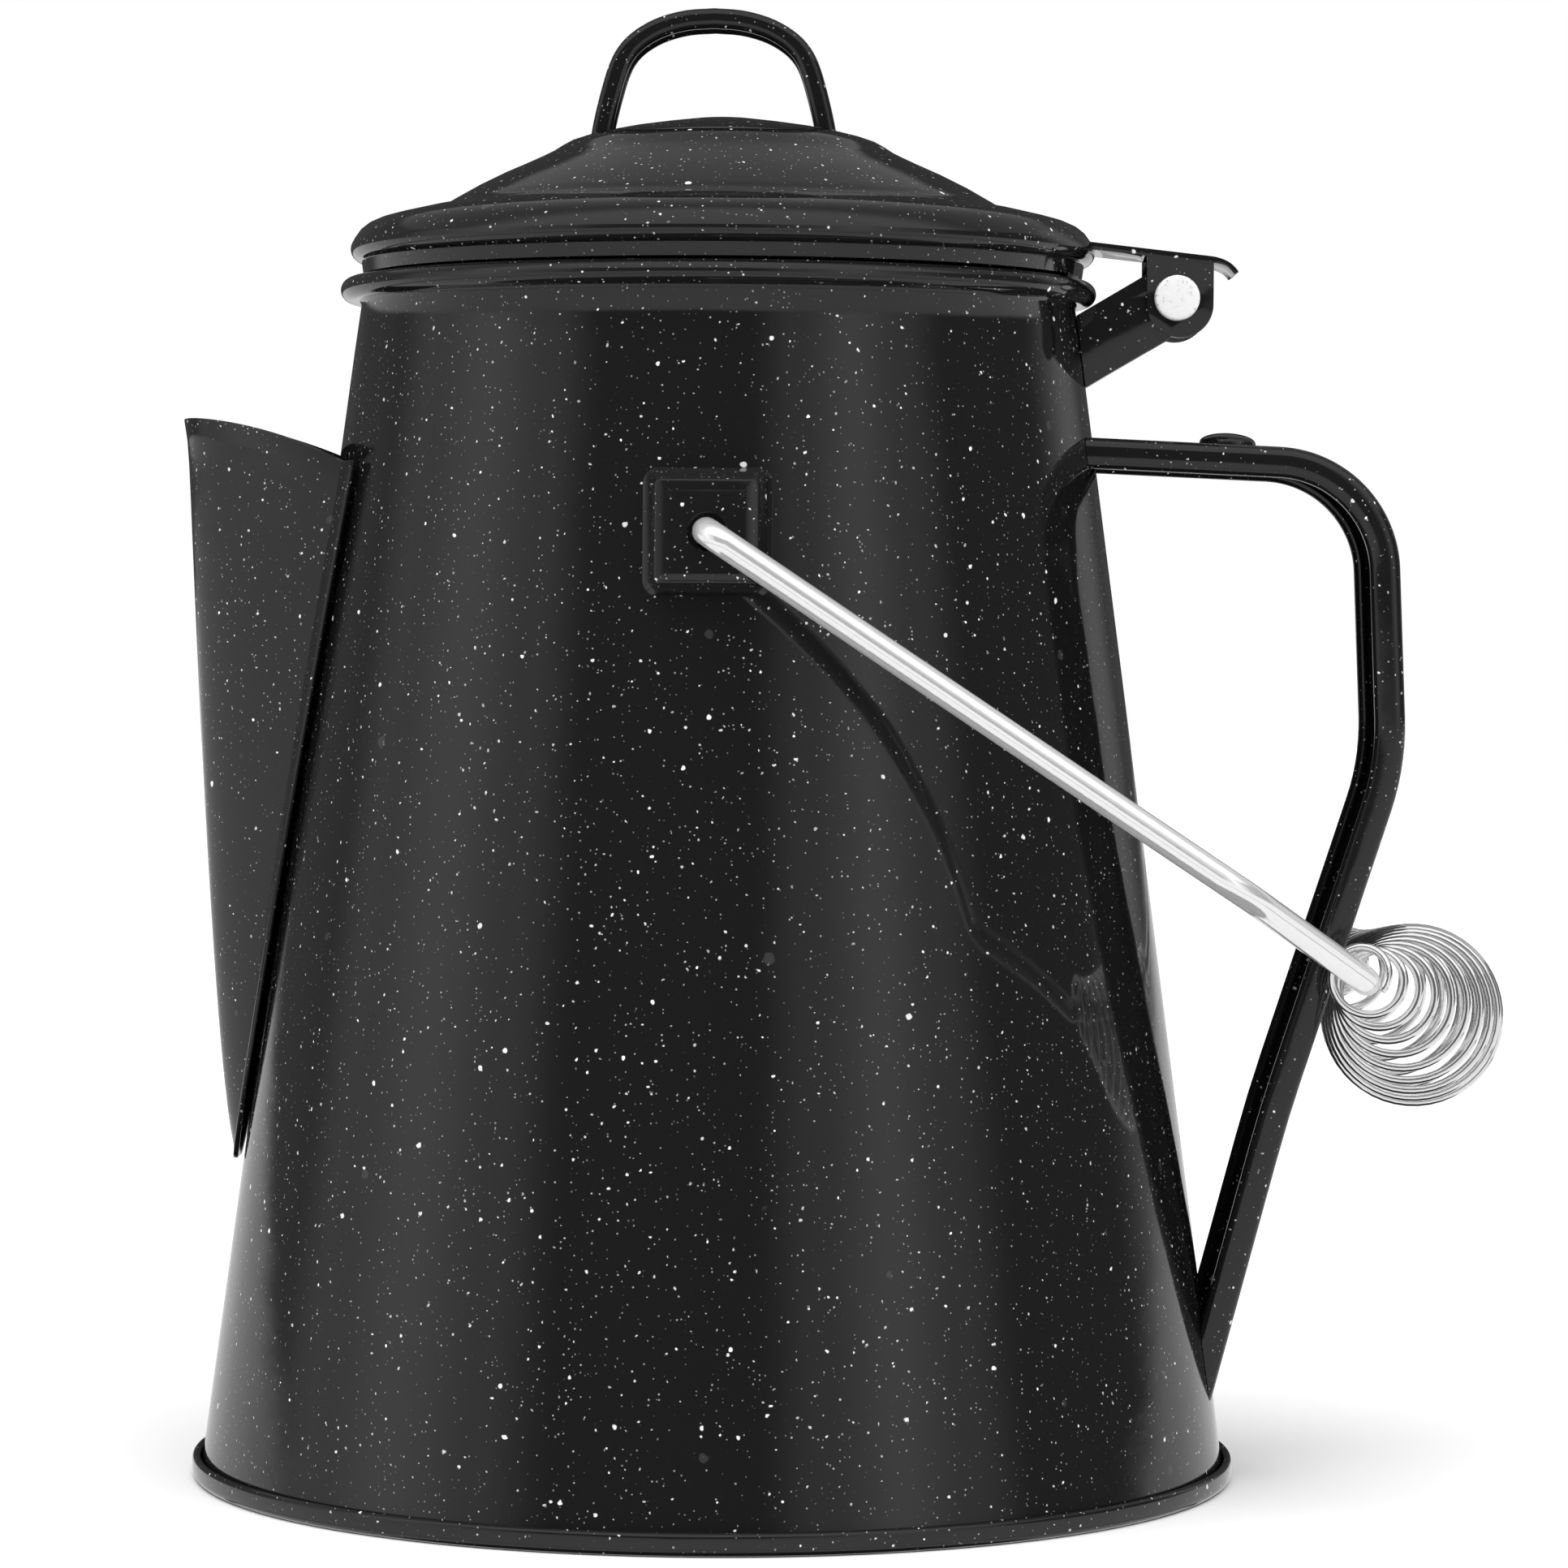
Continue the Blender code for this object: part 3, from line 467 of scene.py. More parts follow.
def wire_along(name, points, radius, sides):
    """A round wire along a 3D path with slightly rounded cut ends."""
    points = [Vector(p) for p in points]
    tangents = [(points[min(i + 1, len(points) - 1)] - points[max(i - 1, 0)]).normalized()
                for i in range(len(points))]
    rounding = [(0.72, 0.0), (0.93, 0.1), (1.0, 0.35)]      # radius and depth, over the wire's radius
    across = tangents[0].orthogonal().normalized()
    rings = []
    for i, (point, tangent) in enumerate(zip(points, tangents)):
        across = (across - tangent * across.dot(tangent)).normalized()
        other = tangent.cross(across)
        cuts = [(1.0, 0.0)]
        if i == 0:
            cuts = rounding
        elif i == len(points) - 1:
            cuts = [(size, -shift) for size, shift in reversed(rounding)]
        for size, shift in cuts:
            rings.append([point + tangent * (shift * radius)
                          + (across * math.cos(2 * math.pi * k / sides)
                             + other * math.sin(2 * math.pi * k / sides)) * (size * radius)
                          for k in range(sides)])
    return lofted(name, rings)


def closed_section(line, thickness):
    """Both faces of a bent sheet's section, as one closed loop of (across, inward) points."""
    line = [Vector(p) for p in line]
    inner = []
    for i, point in enumerate(line):
        tangent = (line[min(i + 1, len(line) - 1)] - line[max(i - 1, 0)]).normalized()
        inner.append(point + Vector((-tangent.y, tangent.x)) * thickness)
    bulge = 0.45 * thickness
    nose = (line[0] + inner[0]) / 2 - (line[1] - line[0]).normalized() * bulge
    tail = (line[-1] + inner[-1]) / 2 + (line[-1] - line[-2]).normalized() * bulge
    return line + [tail] + inner[::-1] + [nose]


def channel(name, spine, width, depth, corner, curl, thickness):
    """A strap bent along an (x, z) spine, its edges turned in and curled over."""
    half = width / 2
    side = [(half, depth - curl)]
    side += [(half - corner + y, corner - d) for y, d in arc(0, 0, corner, 0, 90, 6)]
    tuck = [(half - curl + y, depth - curl + d) for y, d in arc(0, 0, curl, 175, 0, 7)]
    side = tuck + [(half, (depth - curl + corner) / 2)] + side[1:]
    line = [(-y, d) for y, d in side] + [(y, d) for y, d in reversed(side)]
    section = closed_section(line, thickness)
    rings = []
    for i, point in enumerate(spine):
        before, after = spine[max(i - 1, 0)], spine[min(i + 1, len(spine) - 1)]
        tangent = (after - before).normalized()
        inward = Vector((tangent.y, -tangent.x))
        rings.append([(point.x + inward.x * d, y, point.y + inward.y * d) for y, d in section])
    return lofted(name, rings, 30)


def plate(name, outline, y0, y1):
    """A flat solid with an (x, z) outline between two Y planes."""
    return lofted(name, [[(x, y, z) for x, z in outline] for y in (y0, y1)])


def drums(name, centres, direction, radius, length, segments=32):
    """Round bars of one size, lying along the direction, one at each centre."""
    bm = bmesh.new()
    turn = Vector(direction).to_track_quat("Z", "Y").to_matrix().to_4x4()
    for centre in centres:
        bmesh.ops.create_cone(bm, cap_ends=True, segments=segments, radius1=radius, radius2=radius,
                              depth=length, matrix=Matrix.Translation(centre) @ turn)
    return from_bmesh(name, bm)


def combine(obj, *others, operation="DIFFERENCE"):
    """Applies Booleans of obj with others, which are removed."""
    for other in others:
        boolean = obj.modifiers.new("cut", "BOOLEAN")
        boolean.operation = operation
        boolean.object = other
    apply_all(obj)
    for other in others:
        bpy.data.objects.remove(other)
    return obj


def apply_all(obj):
    """Bakes the modifiers into the mesh."""
    graph = bpy.context.evaluated_depsgraph_get()
    mesh = bpy.data.meshes.new_from_object(obj.evaluated_get(graph))
    obj.modifiers.clear()
    obj.data = mesh


def soften(obj, width, segments=3, angle=40):
    """Rounds the sharp edges and shades the rest smooth."""
    bevel = obj.modifiers.new("soften", "BEVEL")
    bevel.width = width
    bevel.segments = segments
    bevel.limit_method = "ANGLE"
    bevel.angle_limit = math.radians(angle)
    bevel.use_clamp_overlap = True
    apply_all(obj)
    shade(obj, 40)
    return obj


def place(obj, body, node, slot):
    """Hangs the piece on its body, in place of its CAD node, with the slot's look."""
    obj.data.materials.clear()
    obj.data.materials.append(LOOKS[slot])
    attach(obj, body)
    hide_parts(node)
    return obj


def wall_cutter():
    """The pot's own space, which pieces that lie on its wall are cut back to."""
    low, high = -0.02, 0.25
    outline = [(0.0, high), (wall_radius(high) + BITE, high), (wall_radius(low) + BITE, low),
               (0.0, low)]
    return turned("wall_cutter", outline, closed=False)


def lid_skin():
    """The lid's outer skin, (radius, height) from its centre out to its rolled edge."""
    crown = [(0.0, LID_TOP_Z), (0.0060, 0.26510), (0.0130, 0.26415), (0.0190, 0.26320),
             (0.0240, 0.26215), (0.0275, 0.26125), (0.0300, 0.26040), (0.0318, 0.25940)]
    cone = [(0.0335, 0.25830), (0.0355, 0.25730), (0.0385, 0.25590), (0.0430, 0.25390),
            (0.0480, 0.25140), (0.0515, 0.24940), (0.0534, 0.24830)]
    crease = [(0.0542, 0.24762), (0.0550, 0.24740)]
    band = [(0.0562, 0.24725), (0.0590, 0.24670), (0.0620, 0.24600), (0.0650, 0.24530),
            (0.0675, 0.24460), (0.0694, 0.24375), (0.0708, 0.24265), (0.0719, 0.24110)]
    return crown + cone + crease + band


def lid_cutter():
    """The lid's own space, which pieces that stand on it are cut back to."""
    skin = [(r + BITE if r else 0.0, z + BITE) for r, z in lid_skin()]
    edge = [(LID_BEAD_R + BITE, 0.2390), (LID_BEAD_R, 0.2300), (0.0, 0.2300)]
    cutter = turned("lid_cutter", skin + edge, closed=False)
    cutter.data.transform(Matrix.Translation((LID_SHIFT, 0, 0)))
    return cutter


# ---- pot -----------------------------------------------------------------------------------------
def spout_share(z):
    """How far up the spout a height is, from 0 at its foot to 1 at its tip."""
    return max(0.0, (z - SPOUT_FOOT_Z) / (SPOUT_TIP_Z - SPOUT_FOOT_Z))


def spout_half_width(z):
    return SPOUT_HALF_W * spout_share(z) ** SPOUT_SPREAD


def spout_nose(z):
    """How far the spout's nose is from the pot's axis."""
    share = spout_share(z)
    return SPOUT_ROOT_X + SPOUT_REACH * share ** SPOUT_BOW + SPOUT_FLICK * share ** SPOUT_FLICK_POWER


def strainer_holes():
    """Rows of holes through the wall, as wide as the spout that hides them."""
    rows, first_z, rise, pitch, margin, hole_r = 8, 0.088, 0.014, 0.0090, 0.005, 0.0024
    centres = []
    for row in range(rows):
        z = first_z + rise * row
        reach = int((spout_half_width(z) - margin) / pitch)
        centres += [(-wall_radius(z), k * pitch, z) for k in range(-reach, reach + 1)]
    return drums("strainer_cutter", centres, (1, 0, 0), hole_r, 0.020, segments=20)


def pot_body():
    neck_z = RIM_Z - RIM_BEAD
    rim = arc(MOUTH_R + RIM_BEAD, RIM_Z, RIM_BEAD, 180, 90, 8)
    rim += arc(RIM_R - RIM_BEAD, RIM_Z, RIM_BEAD, 90, -98, 20)
    neck = [(wall_radius(neck_z) + 0.0004, neck_z + 0.0001), (wall_radius(neck_z), neck_z - 0.0006)]
    heights = [neck_z - (neck_z - BODY_FOOT_Z) * i / 24 for i in range(1, 25)]
    outer = [(wall_radius(z), z) for z in heights]
    inner = [(wall_radius(z) - SHEET, z) for z in reversed(heights)]
    body = turned("enamel_pot", rim + neck + outer + inner + [(MOUTH_R, neck_z)])
    combine(body, strainer_holes())
    shade(body, 38)
    return place(body, "pot", "pot_body", "enamel")


def pot_base():
    """The floor, the rolled bead that seams it to the wall, and a small radius underneath."""
    inner, foot_r = wall_radius(BODY_FOOT_Z) + 0.0001, 0.0014
    bead = (BASE_R - inner) / 2
    outline = [(0.0, FLOOR_T), (inner - 0.004, FLOOR_T), (inner, FLOOR_T)]
    outline += arc(inner + bead, BASE_H - bead, bead, 180, 0, 10) + [(BASE_R, 0.0022)]
    outline += arc(BASE_R - foot_r, foot_r, foot_r, 0, -90, 6) + [(0.0, 0.0)]
    return place(turned("seamed_base", outline, closed=False), "pot", "pot_base", "enamel")


def spout():
    """A half-cone wall between two edges that lie on the pot, lofted from foot to lip.

    In each row, depth runs from 2 at the flange's edge over 1 at the root to 0 at the nose.
    """
    sides = [1.0 - i / 16 for i in range(16)]
    levels = [0.0, 0.006, 0.02, 0.04, 0.065] + [0.10 + 0.90 * i / 30 for i in range(31)]
    rows = []
    for level in levels:
        half = []
        for depth in [2.0, 1.55] + sides + [0.0]:
            share = min(depth, 1.0) ** 1.35
            top = SPOUT_TIP_Z - (SPOUT_TIP_Z - SPOUT_CORNER_Z) * share ** 1.6
            z = SPOUT_FOOT_Z + level * (top - SPOUT_FOOT_Z)
            seat = wall_radius(z) + GAP + SHEET
            angle = math.asin((spout_half_width(z) + 0.0012) / seat)
            if depth > 1:
                angle += (depth - 1) * SPOUT_FLANGE / seat * min(1.0, 0.35 + 4 * level)
                half.append((-seat * math.cos(angle), seat * math.sin(angle), z))
            else:
                root = seat * math.cos(angle)
                nose = max(spout_nose(z), seat) if level else seat
                x = nose + (root - nose) * share
                half.append((-x, seat * math.sin(angle) * share ** 0.6, z))
        rows.append(half + [(x, -y, z) for x, y, z in reversed(half[:-1])])
    width = len(rows[0])
    faces = [(i * width + j, (i + 1) * width + j, (i + 1) * width + j + 1, i * width + j + 1)
             for i in range(len(rows) - 1) for j in range(width - 1)]
    mesh = bpy.data.meshes.new("pouring_spout")
    mesh.from_pydata([p for row in rows for p in row], [], faces)
    obj = linked("pouring_spout", mesh)
    sheet = obj.modifiers.new("sheet", "SOLIDIFY")
    sheet.thickness = SHEET
    sheet.offset = -1.0
    sheet.use_even_offset = True
    apply_all(obj)
    soften(obj, 0.00028, segments=2, angle=50)
    return place(obj, "pot", "spout", "enamel")


def strap_handle():
    spine = spaced(rounded_path(HANDLE_PATH, HANDLE_RADII, 3), 0.006)
    handle = channel("strap_handle_channel", spine, HANDLE_W, HANDLE_D,
                     corner=0.0022, curl=0.0014, thickness=0.0010)
    combine(handle, wall_cutter())
    shade(handle, 32)
    return place(handle, "pot", "strap_handle", "enamel")


def handle_button():
    """A lens-shaped stud lying on the slope of the handle's top arm."""
    radius, height, along = 0.0056, 0.0021, 0.0998
    (x0, z0), (x1, z1) = HANDLE_PATH[:2]
    slope = (z0 - z1) / (x1 - x0)
    lens = [(0.98 * radius * math.sin(math.radians(a)), height * (0.1 + 0.9 * math.cos(math.radians(a))))
            for a in range(8, 89, 8)]
    outline = [(0.0, height)] + lens + [(radius, -0.0004), (0.0, -0.0006)]
    button = turned("handle_stud", outline, closed=False, steps=48)
    foot = z0 - slope * (along - x0) + 2 * GAP
    lean = Matrix.Rotation(math.atan(slope), 4, "Y")
    button.data.transform(Matrix.Translation((along, 0, foot)) @ lean)
    return place(button, "pot", "handle_button", "enamel")


def rounded_box(half_x, half_z, radius):
    """Outline of a rectangle with rounded corners."""
    corners = [(1, 1, 0), (-1, 1, 90), (-1, -1, 180), (1, -1, 270)]
    points = []
    for u, v, start in corners:
        points += [(u * (half_x - radius) + x, v * (half_z - radius) + z)
                   for x, z in arc(0, 0, radius, start, start + 90, 8)]
    return points


def bail_ear(side):
    """A pressed square box, slightly bowed at its sides, whose edges flow softly into the wall."""
    bow_start, bow_slope, flank, wall_r, face_depth = 0.0072, 0.36, 0.40, 0.0758, 0.0030
    # Half width, depth behind the face and corner radius, from the hole outwards.
    profile = [(0.0052, 0.0000, 0.0008), (0.0070, 0.0000, 0.0009), (0.0075, 0.0000, 0.0009),
               (EAR_HALF - 0.0016, 0.0000, 0.0009), (EAR_HALF - 0.0005, 0.0000, 0.0010),
               (EAR_HALF - 0.0003, 0.00006, 0.0011), (EAR_HALF - 0.0001, 0.00030, 0.0013),
               (EAR_HALF, 0.0009, 0.0015), (EAR_HALF + 0.0003, 0.0028, 0.0018),
               (EAR_HALF + 0.0008, 0.0046, 0.0021), (EAR_HALF + 0.0013, 0.0056, 0.0025),
               (EAR_HALF + 0.0020, 0.0062, 0.0030), (EAR_HALF + 0.0030, 0.0066, 0.0036),
               (EAR_HALF + 0.0030, 0.0110, 0.0036)]
    rings = []
    for half, depth, radius in profile:
        follow = min(1.0, max(0.0, depth / face_depth - 1.0))       # 0 on the face, 1 on the wall
        ring = []
        half_z = half if half < EAR_HALF else EAR_HALF + flank * (depth - 0.0009)
        for x, z in rounded_box(half, half_z, radius):
            lean = BODY_TAPER * z * follow
            bow = (x * x / (2 * wall_r)) * follow
            bow += bow_slope * max(0.0, min(abs(x), EAR_HALF) - bow_start) * (1 - follow)
            ring.append((x, side * (EAR_FACE_Y - depth - lean - bow), EAR_Z + z))
        rings.append(ring)
    name = "bail_ear_box_left" if side < 0 else "bail_ear_box_right"
    ear = lofted(name, rings, 50)
    centre = (0, side * EAR_FACE_Y, EAR_Z)
    combine(ear, drums("ear_hole", [centre], (0, 1, 0), EAR_HOLE_R, 0.012, 40), wall_cutter())
    shade(ear, 50)
    return place(ear, "pot", "bail_ear_left" if side < 0 else "bail_ear_right", "enamel")


# ---- hinge and lid --------------------------------------------------------------------------------
def pin_bore():
    return drums("bore", [(HINGE_X, 0, HINGE_Z)], (0, 1, 0), PIN_R + GAP, 0.03)


def hinge_bracket():
    """A folded channel that rises from the wall to a round nose about the pin."""
    lean = math.radians(BRACKET_LEAN)
    along = Vector((math.cos(lean), math.sin(lean)))
    up = Vector((-along.y, along.x))
    hub = Vector((HINGE_X, HINGE_Z)) + up * BRACKET_RISE
    outer_y = HINGE_EAR_Y - HINGE_SHEET - GAP
    root = hub - along * BRACKET_ROOT
    nose = [hub + Vector(p) for p in arc(0, 0, BRACKET_R, BRACKET_LEAN - 90, BRACKET_LEAN + 90, 24)]
    outline = [root - up * BRACKET_R] + nose + [root + up * BRACKET_R]
    bracket = plate("hinge_bracket_channel", outline, -outer_y, outer_y)
    deep, beyond = BRACKET_R - HINGE_SHEET, 0.020
    floor = [root - up * deep, hub - along * 0.009 - up * deep,
             hub - along * 0.007 - up * beyond, hub + along * beyond - up * beyond,
             hub + along * beyond + up * beyond, root + up * beyond]
    inner_y = outer_y - HINGE_SHEET
    slot = plate("slot", floor, -inner_y, inner_y)
    combine(bracket, slot, pin_bore(), wall_cutter())
    soften(bracket, 0.0004)
    return place(bracket, "pot", "hinge_bracket", "enamel")


def hinge_leaf():
    """A plate on the lid's edge, with a curled thumb tab and two ears on the pin."""
    tab_x0, tab_x1 = 0.0948, 0.1010
    top = [Vector((0.0680, 0.2414)), Vector((0.0820, 0.2398)), Vector((0.0930, 0.23856))]
    top += curve_through([(tab_x0, 0.23836), (0.0966, 0.23810), (0.0982, 0.23760), (0.0996, 0.23680),
                          (0.1006, 0.23580), (tab_x1, 0.23520)], 3)
    below = []
    for i, point in enumerate(top):
        tangent = (top[min(i + 1, len(top) - 1)] - top[max(i - 1, 0)]).normalized()
        thin = 1.0 - 0.5 * max(0.0, (point.x - tab_x0) / (tab_x1 - tab_x0))
        below.append(point - Vector((-tangent.y, tangent.x)) * HINGE_SHEET * thin)
    leaf = plate("hinge_leaf_plate", top + below[::-1], -HINGE_EAR_Y - 0.0002, HINGE_EAR_Y + 0.0002)
    ear_x0, ear_x1 = HINGE_X - 0.0058, HINGE_X + 0.0071
    shape = [(ear_x0, 0.2386), (ear_x0, HINGE_Z - 0.0010)]
    shape += arc((ear_x0 + ear_x1) / 2, HINGE_Z - 0.0012, (ear_x1 - ear_x0) / 2, 185, 355, 24)
    shape += [(ear_x1, HINGE_Z), (ear_x1, 0.2370)]
    ears = []
    for side in (-1, 1):
        y0, y1 = side * HINGE_EAR_Y, side * (HINGE_EAR_Y - HINGE_SHEET)
        ears.append(plate("ear", shape, min(y0, y1), max(y0, y1)))
    combine(leaf, *ears, operation="UNION")
    combine(leaf, pin_bore(), lid_cutter())
    soften(leaf, 0.0004)
    return place(leaf, "lid", "hinge_leaf", "enamel")


def hinge_pin():
    """A rivet with a flat head, rounded at its edge, on either side."""
    head_y, thick, edge_r, edge_drop = HINGE_EAR_Y + GAP, 0.0016, 0.0006, 0.0007
    head = [(0.0, head_y + thick), (0.45 * PIN_HEAD_R, head_y + thick),
            (0.75 * PIN_HEAD_R, head_y + 0.95 * thick)]
    head += arc(PIN_HEAD_R - edge_r, head_y + thick - edge_drop, edge_r, 80, 0, 5)
    outline = head + [(PIN_HEAD_R, head_y), (PIN_R, head_y)]
    outline += [(r, -y) for r, y in reversed(outline)]
    pin = turned("rivet_pin", outline, closed=False, steps=48)
    across = Matrix.Rotation(math.radians(90), 4, "X")
    pin.data.transform(Matrix.Translation((HINGE_X, 0, HINGE_Z)) @ across)
    return place(pin, "pot", "hinge_pin", "rivet")


def lid():
    """The stepped dome, its rolled edge, and a lining whose skirt reaches into the rim."""
    roll = arc(0.0702, 0.2390, 0.0025, 30, -82, 12)
    skirt = [(SKIRT_R + 0.0030, LID_BOTTOM_Z + 0.0004), (SKIRT_R + 0.0012, LID_BOTTOM_Z + 0.0002),
             (SKIRT_R, LID_BOTTOM_Z - 0.0008), (SKIRT_R, SKIRT_Z + 0.0003),
             (SKIRT_R - 0.0005, SKIRT_Z), (SKIRT_R - SHEET, SKIRT_Z + 0.0003)]
    lining = [(SKIRT_R - SHEET, 0.2396), (0.0640, 0.2430), (0.0600, 0.2452), (0.0540, 0.2463),
              (0.0430, 0.2525), (0.0335, 0.2570), (0.0290, 0.2590), (0.0240, 0.2608),
              (0.0130, 0.2628), (0.0, LID_TOP_Z - 0.0012)]
    outline = lid_skin() + roll + skirt + lining
    dome = turned("domed_lid", outline, closed=False, edge_angle=42)
    dome.data.transform(Matrix.Translation((LID_SHIFT, 0, 0)))
    return place(dome, "lid", "lid", "enamel")


def lid_handle():
    """An arched strap; its right half runs from below the crown up to the top."""
    knots = [(0.0242, 0.2600), (0.0235, 0.2640), (0.0226, 0.2680), (0.0217, 0.2714),
             (0.0207, 0.2747), (0.0193, 0.2778), (0.0172, 0.2805), (0.0142, 0.2828),
             (0.0105, 0.2846), (0.0055, 0.2859), (0.0, LID_HANDLE_TOP_Z)]
    right = curve_through(knots, 3)
    middle = Vector((LID_HANDLE_SHIFT, 0))
    spine = [middle + Vector((-p.x, p.y)) for p in right] + [middle + p for p in right[-2::-1]]
    handle = channel("lid_handle_channel", spine, LID_HANDLE_W, LID_HANDLE_D,
                     corner=0.0014, curl=0.0012, thickness=0.0009)
    combine(handle, lid_cutter())
    shade(handle, 32)
    return place(handle, "lid", "lid_handle", "enamel")


# ---- bail ------------------------------------------------------------------------------------------
def bail_point(along, y, lift):
    """A point of the bail at rest: along its arms, across the pot, and off its plane."""
    c, s = math.cos(BAIL_REST), math.sin(BAIL_REST)
    return Vector((along * c + lift * s, y, EAR_Z - along * s + lift * c))


def coil_radius(y):
    """The coil's radius, a barrel that is widest in the middle."""
    share = 1 - abs(y) / GRIP_HALF
    return COIL_END_R + (COIL_MID_R - COIL_END_R) * (share - 0.06 * math.sin(2 * math.pi * share))


def grip_inner(y):
    """Where the coil's side toward the pot is, along the arms; its ends are tucked in."""
    return GRIP_INNER - GRIP_TUCK * (abs(y) / GRIP_HALF) ** 4


def grip_along(y):
    return grip_inner(y) + coil_radius(y)


def grip_lift(y):
    """How far the grip hangs below the plane of the arms, as a negative lift."""
    return -GRIP_SAG + (GRIP_SAG - GRIP_END_SAG) * abs(y) / GRIP_HALF


def turn_tilt(y):
    """The lean of a turn, a share of the slope of the coil's middle line."""
    step = 0.0005
    return TURN_LEAN * math.atan((grip_along(y - step) - grip_along(y + step)) / (2 * step))


def bail_wire():
    """Ends turned into the ears, two arms, and a straight middle that the coil hangs on."""
    first_y, pitch, end_y = 0.0385, 0.0020, EAR_FACE_Y - 0.0048
    middle = []
    for i in range(20):
        y = first_y - pitch * i
        inset = COIL_WIRE_R + BAIL_WIRE_R + GAP + WIRE_DIP * (y / GRIP_HALF) ** 4
        middle.append(Vector((grip_inner(y) + inset, y)))
    elbow = (middle[0].x, BAIL_ELBOW_Y)
    corners = [(0.0, end_y), (0.0, BAIL_ARM_Y), BAIL_CORNER, elbow, middle[0]]
    half = spaced(rounded_path(corners, [0.0045, 0.0120, 0.0040], 5)[:-1], 0.008) + middle
    path = [Vector((p.x, -p.y)) for p in half] + half[::-1]
    points = []
    for p in path:      # the sag sets in between the arm's corner and the elbow
        sag = max(0.0, (p.x - BAIL_CORNER[0]) / (elbow[0] - BAIL_CORNER[0]))
        lift = grip_lift(p.y) if abs(p.y) < GRIP_HALF else -GRIP_END_SAG * min(1.0, sag)
        points.append(bail_point(p.x, p.y, lift))
    return place(wire_along("bail_wire_bright", points, BAIL_WIRE_R, 28), "bail", "bail_wire", "wire")


def coil_grip():
    half_length = GRIP_HALF - COIL_WIRE_R
    count = COIL_TURNS * 48
    points = []
    for i in range(count + 1):
        y = half_length * (2 * i / count - 1)
        radius, tilt = coil_radius(y), turn_tilt(y)
        turn = 2 * math.pi * COIL_TURNS * i / count
        out, lift = radius * math.cos(turn), radius * math.sin(turn)
        points.append(bail_point(grip_along(y) + out * math.cos(tilt), y + out * math.sin(tilt),
                                 grip_lift(y) + lift))
    coil = place(wire_along("coil_spring_grip", points, COIL_WIRE_R, 14), "bail", "coil_grip", "wire")
    coil.data.materials[0] = COIL_LOOK
    return coil


# ---- pump and basket ---------------------------------------------------------------------------------
STEM_BORE = STEM_R + 0.0001             # hole of the bell and the collar, pressed on the stem
CHIMNEY_R, INSERT_SHEET = STEM_R + 0.0007, 0.0009
BASKET_TOP_Z = BASKET_BOTTOM_Z + BASKET_H
HOLE_RINGS, HOLE_R = [(0.014, 8), (0.025, 14), (0.036, 20)], 0.0012


def sieve_holes(z, depth):
    """Rings of small holes through a flat floor."""
    centres = []
    for radius, count in HOLE_RINGS:
        turns = [2 * math.pi * (i + 0.5) / count for i in range(count)]
        centres += [(radius * math.cos(a), radius * math.sin(a), z) for a in turns]
    return drums("holes", centres, (0, 0, 1), HOLE_R, depth, 12)


def pump_stem():
    foot, inner = BELL_TOP_Z - 0.0080, STEM_R - 0.0008
    outline = [(STEM_R - 0.0002, STEM_TOP_Z), (STEM_R, STEM_TOP_Z - 0.0003), (STEM_R, foot),
               (inner, foot), (inner, STEM_TOP_Z)]
    return place(turned("pump_tube", outline, steps=64), "pump", "pump_stem", "insert")


def pump_bell():
    """A collar on the stem that flares out to a foot just above the pot's floor."""
    low = FLOOR_T + GAP
    collar = [(STEM_BORE + 0.0011, BELL_TOP_Z), (STEM_BORE + 0.0015, BELL_TOP_Z - 0.0006),
              (STEM_BORE + 0.0016, BELL_TOP_Z - 0.0070), (STEM_BORE + 0.0030, 0.0186)]
    flare = [(0.0110, 0.0176), (0.0160, 0.0165), (0.0225, 0.0148), (0.0280, 0.0125),
             (0.0325, 0.0100), (0.0360, 0.0070), (0.0385, 0.0042)]
    edge = [(BELL_R - 0.0004, low + 0.0016), (BELL_R, low + 0.0008), (BELL_R - 0.0004, low),
            (BELL_R - 0.0014, low)]
    inside = [(0.0350, 0.0062), (0.0316, 0.0090), (0.0276, 0.0114), (0.0220, 0.0137),
              (0.0157, 0.0153), (0.0100, 0.0165), (STEM_BORE, BELL_TOP_Z - 0.0085),
              (STEM_BORE, BELL_TOP_Z)]
    bell = turned("pump_foot", collar + flare + edge + inside, steps=96)
    return place(bell, "pump", "pump_bell", "insert")


def stem_collar():
    z = COLLAR_Z
    outline = [(STEM_BORE + 0.0016, z + 0.0040), (STEM_BORE + 0.0025, z + 0.0034),
               (STEM_BORE + 0.0030, z + 0.0020), (STEM_BORE + 0.0025, z + 0.0006),
               (STEM_BORE + 0.0016, z), (STEM_BORE, z), (STEM_BORE, z + 0.0040)]
    return place(turned("stem_stop", outline, steps=64), "pump", "stem_collar", "insert")


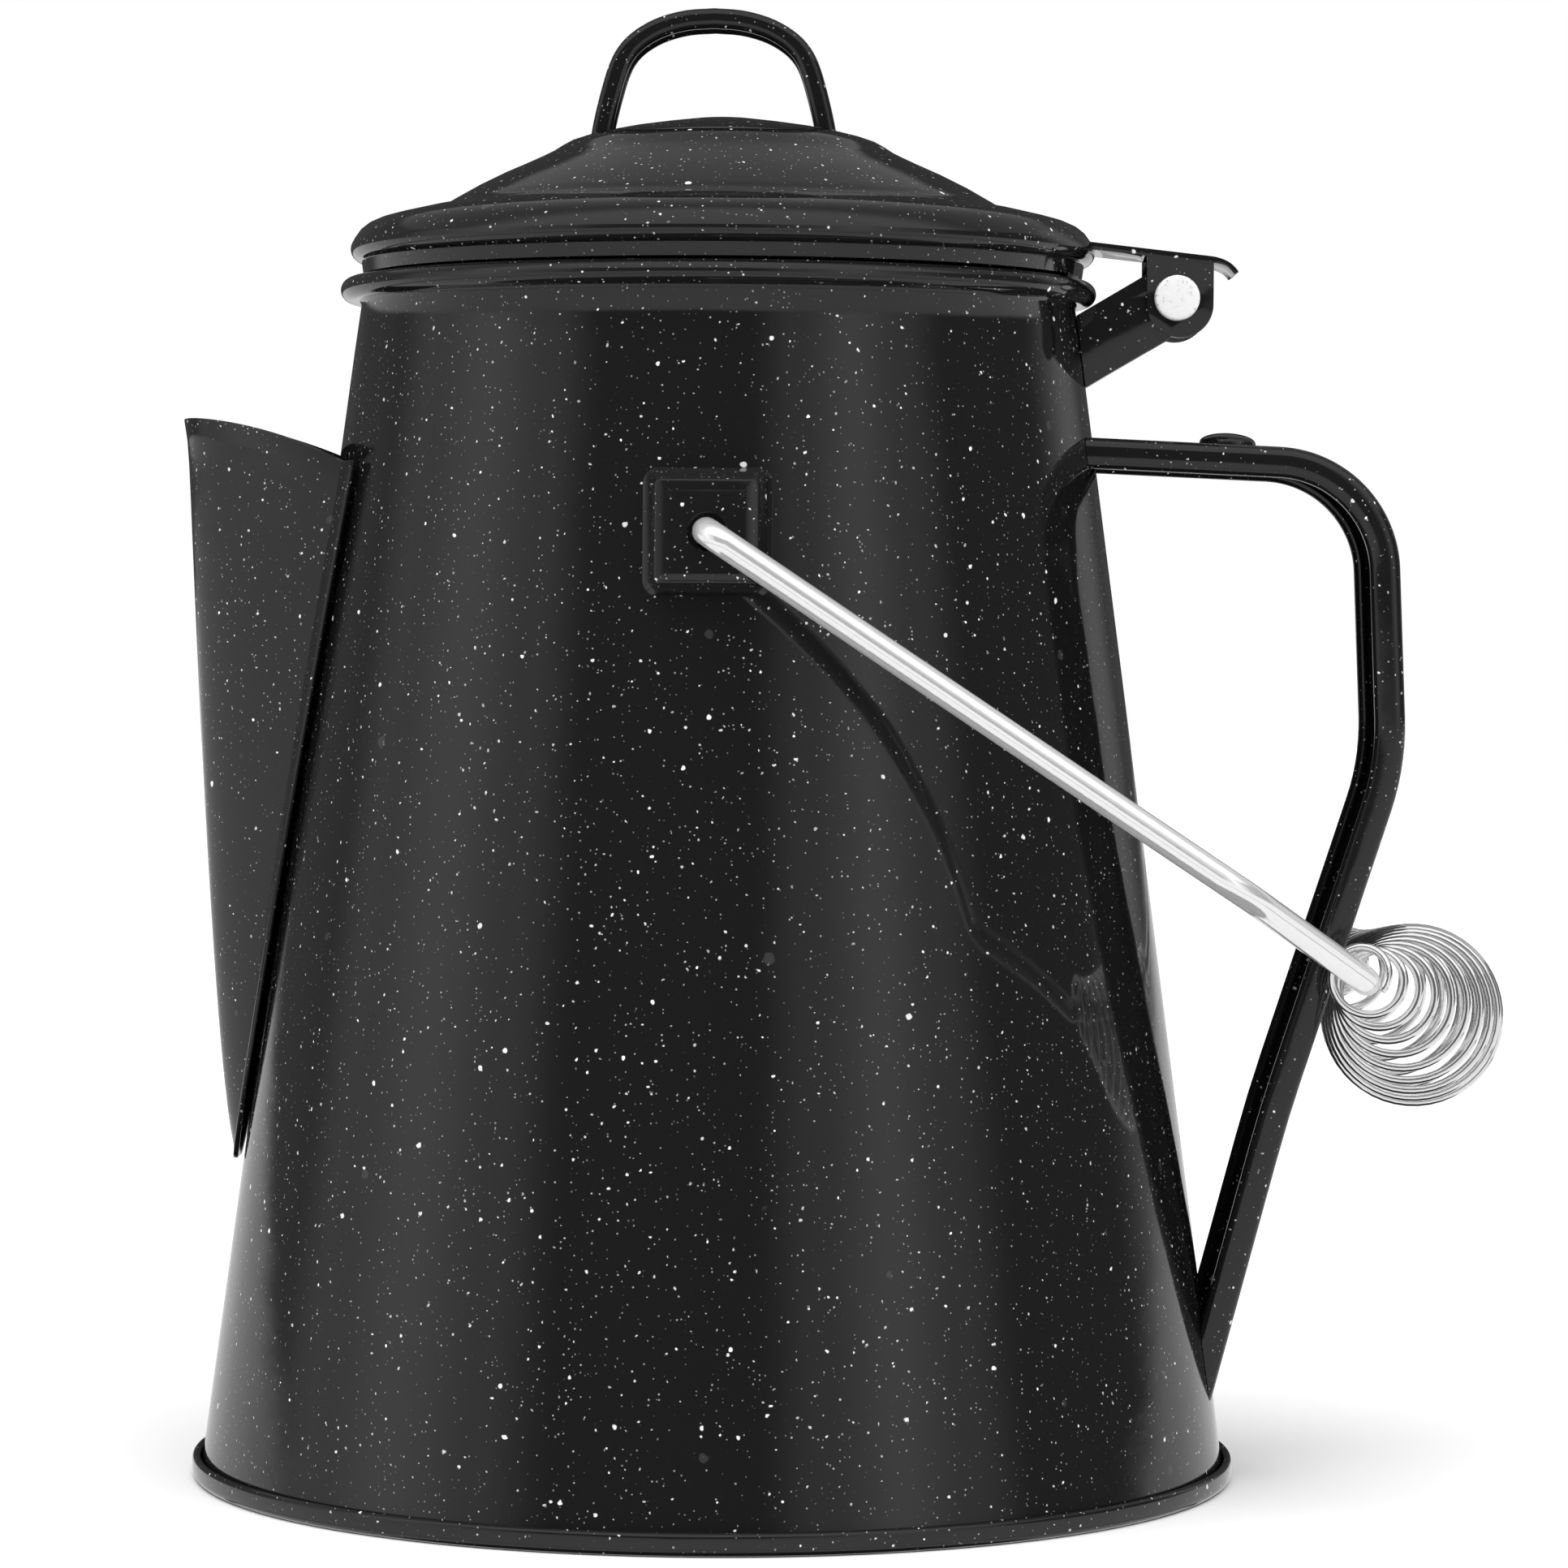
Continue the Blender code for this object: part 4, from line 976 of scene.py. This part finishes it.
def coffee_basket():
    """A cup with a short chimney round the stem and a curled lip."""
    z, top, wall, chimney = BASKET_BOTTOM_Z, BASKET_TOP_Z, INSERT_SHEET, 0.0400
    inside = [(CHIMNEY_R, z), (CHIMNEY_R, z + chimney), (CHIMNEY_R + wall, z + chimney),
              (CHIMNEY_R + wall, z + 0.0025), (CHIMNEY_R + 0.0025, z + wall),
              (BASKET_R - 0.0048, z + wall), (BASKET_R - 0.0028, z + 0.0018),
              (BASKET_R - wall - 0.0010, z + 0.0040)]
    lip = [(BASKET_R - wall, top - 0.0010), (BASKET_R - wall + 0.0004, top - 0.0002),
           (BASKET_R + 0.0003, top), (BASKET_R + 0.0010, top - 0.0004),
           (BASKET_R + 0.0012, top - 0.0010), (BASKET_R + 0.0009, top - 0.0017),
           (BASKET_R, top - 0.0019)]
    outside = [(BASKET_R - 0.0001, z + chimney), (BASKET_R - 0.0010, z + 0.0032),
               (BASKET_R - 0.0020, z + 0.0010), (BASKET_R - 0.0036, z)]
    basket = turned("basket_cup", inside + lip + outside, steps=128)
    return place(combine(basket, sieve_holes(z, 0.004)), "basket", "coffee_basket", "insert")


def basket_lid():
    """The spreader: a shallow dish whose edge rests on the basket's lip."""
    z, wall, dip = BASKET_TOP_Z + GAP, INSERT_SHEET, 0.0030
    outline = [(CHIMNEY_R, z - dip), (CHIMNEY_R, z + wall - dip), (BASKET_R - 0.0070, z + wall - dip),
               (BASKET_R - 0.0056, z + wall - 0.0024), (BASKET_R - 0.0040, z + wall - 0.0002),
               (BASKET_R - 0.0030, z + wall), (BASKET_R + 0.0003, z + wall),
               (BASKET_R + 0.0008, z + 0.0005), (BASKET_R + 0.0006, z), (BASKET_R - 0.0031, z),
               (BASKET_R - 0.0052, z - 0.0026), (BASKET_R - 0.0062, z - dip)]
    dish = turned("spreader_dish", outline, steps=128)
    return place(combine(dish, sieve_holes(z - 0.0026, 0.006)), "spreader", "basket_lid", "insert")


def main():
    bpy.context.scene.view_settings.view_transform = "Standard"
    make_camera()
    make_world()
    make_floor()
    make_sky_light()
    pot_body()
    pot_base()
    spout()
    strap_handle()
    handle_button()
    for side in (-1, 1):
        bail_ear(side)
    hinge_bracket()
    hinge_leaf()
    hinge_pin()
    lid()
    lid_handle()
    bail_wire()
    coil_grip()
    pump_stem()
    pump_bell()
    stem_collar()
    coffee_basket()
    basket_lid()


main()
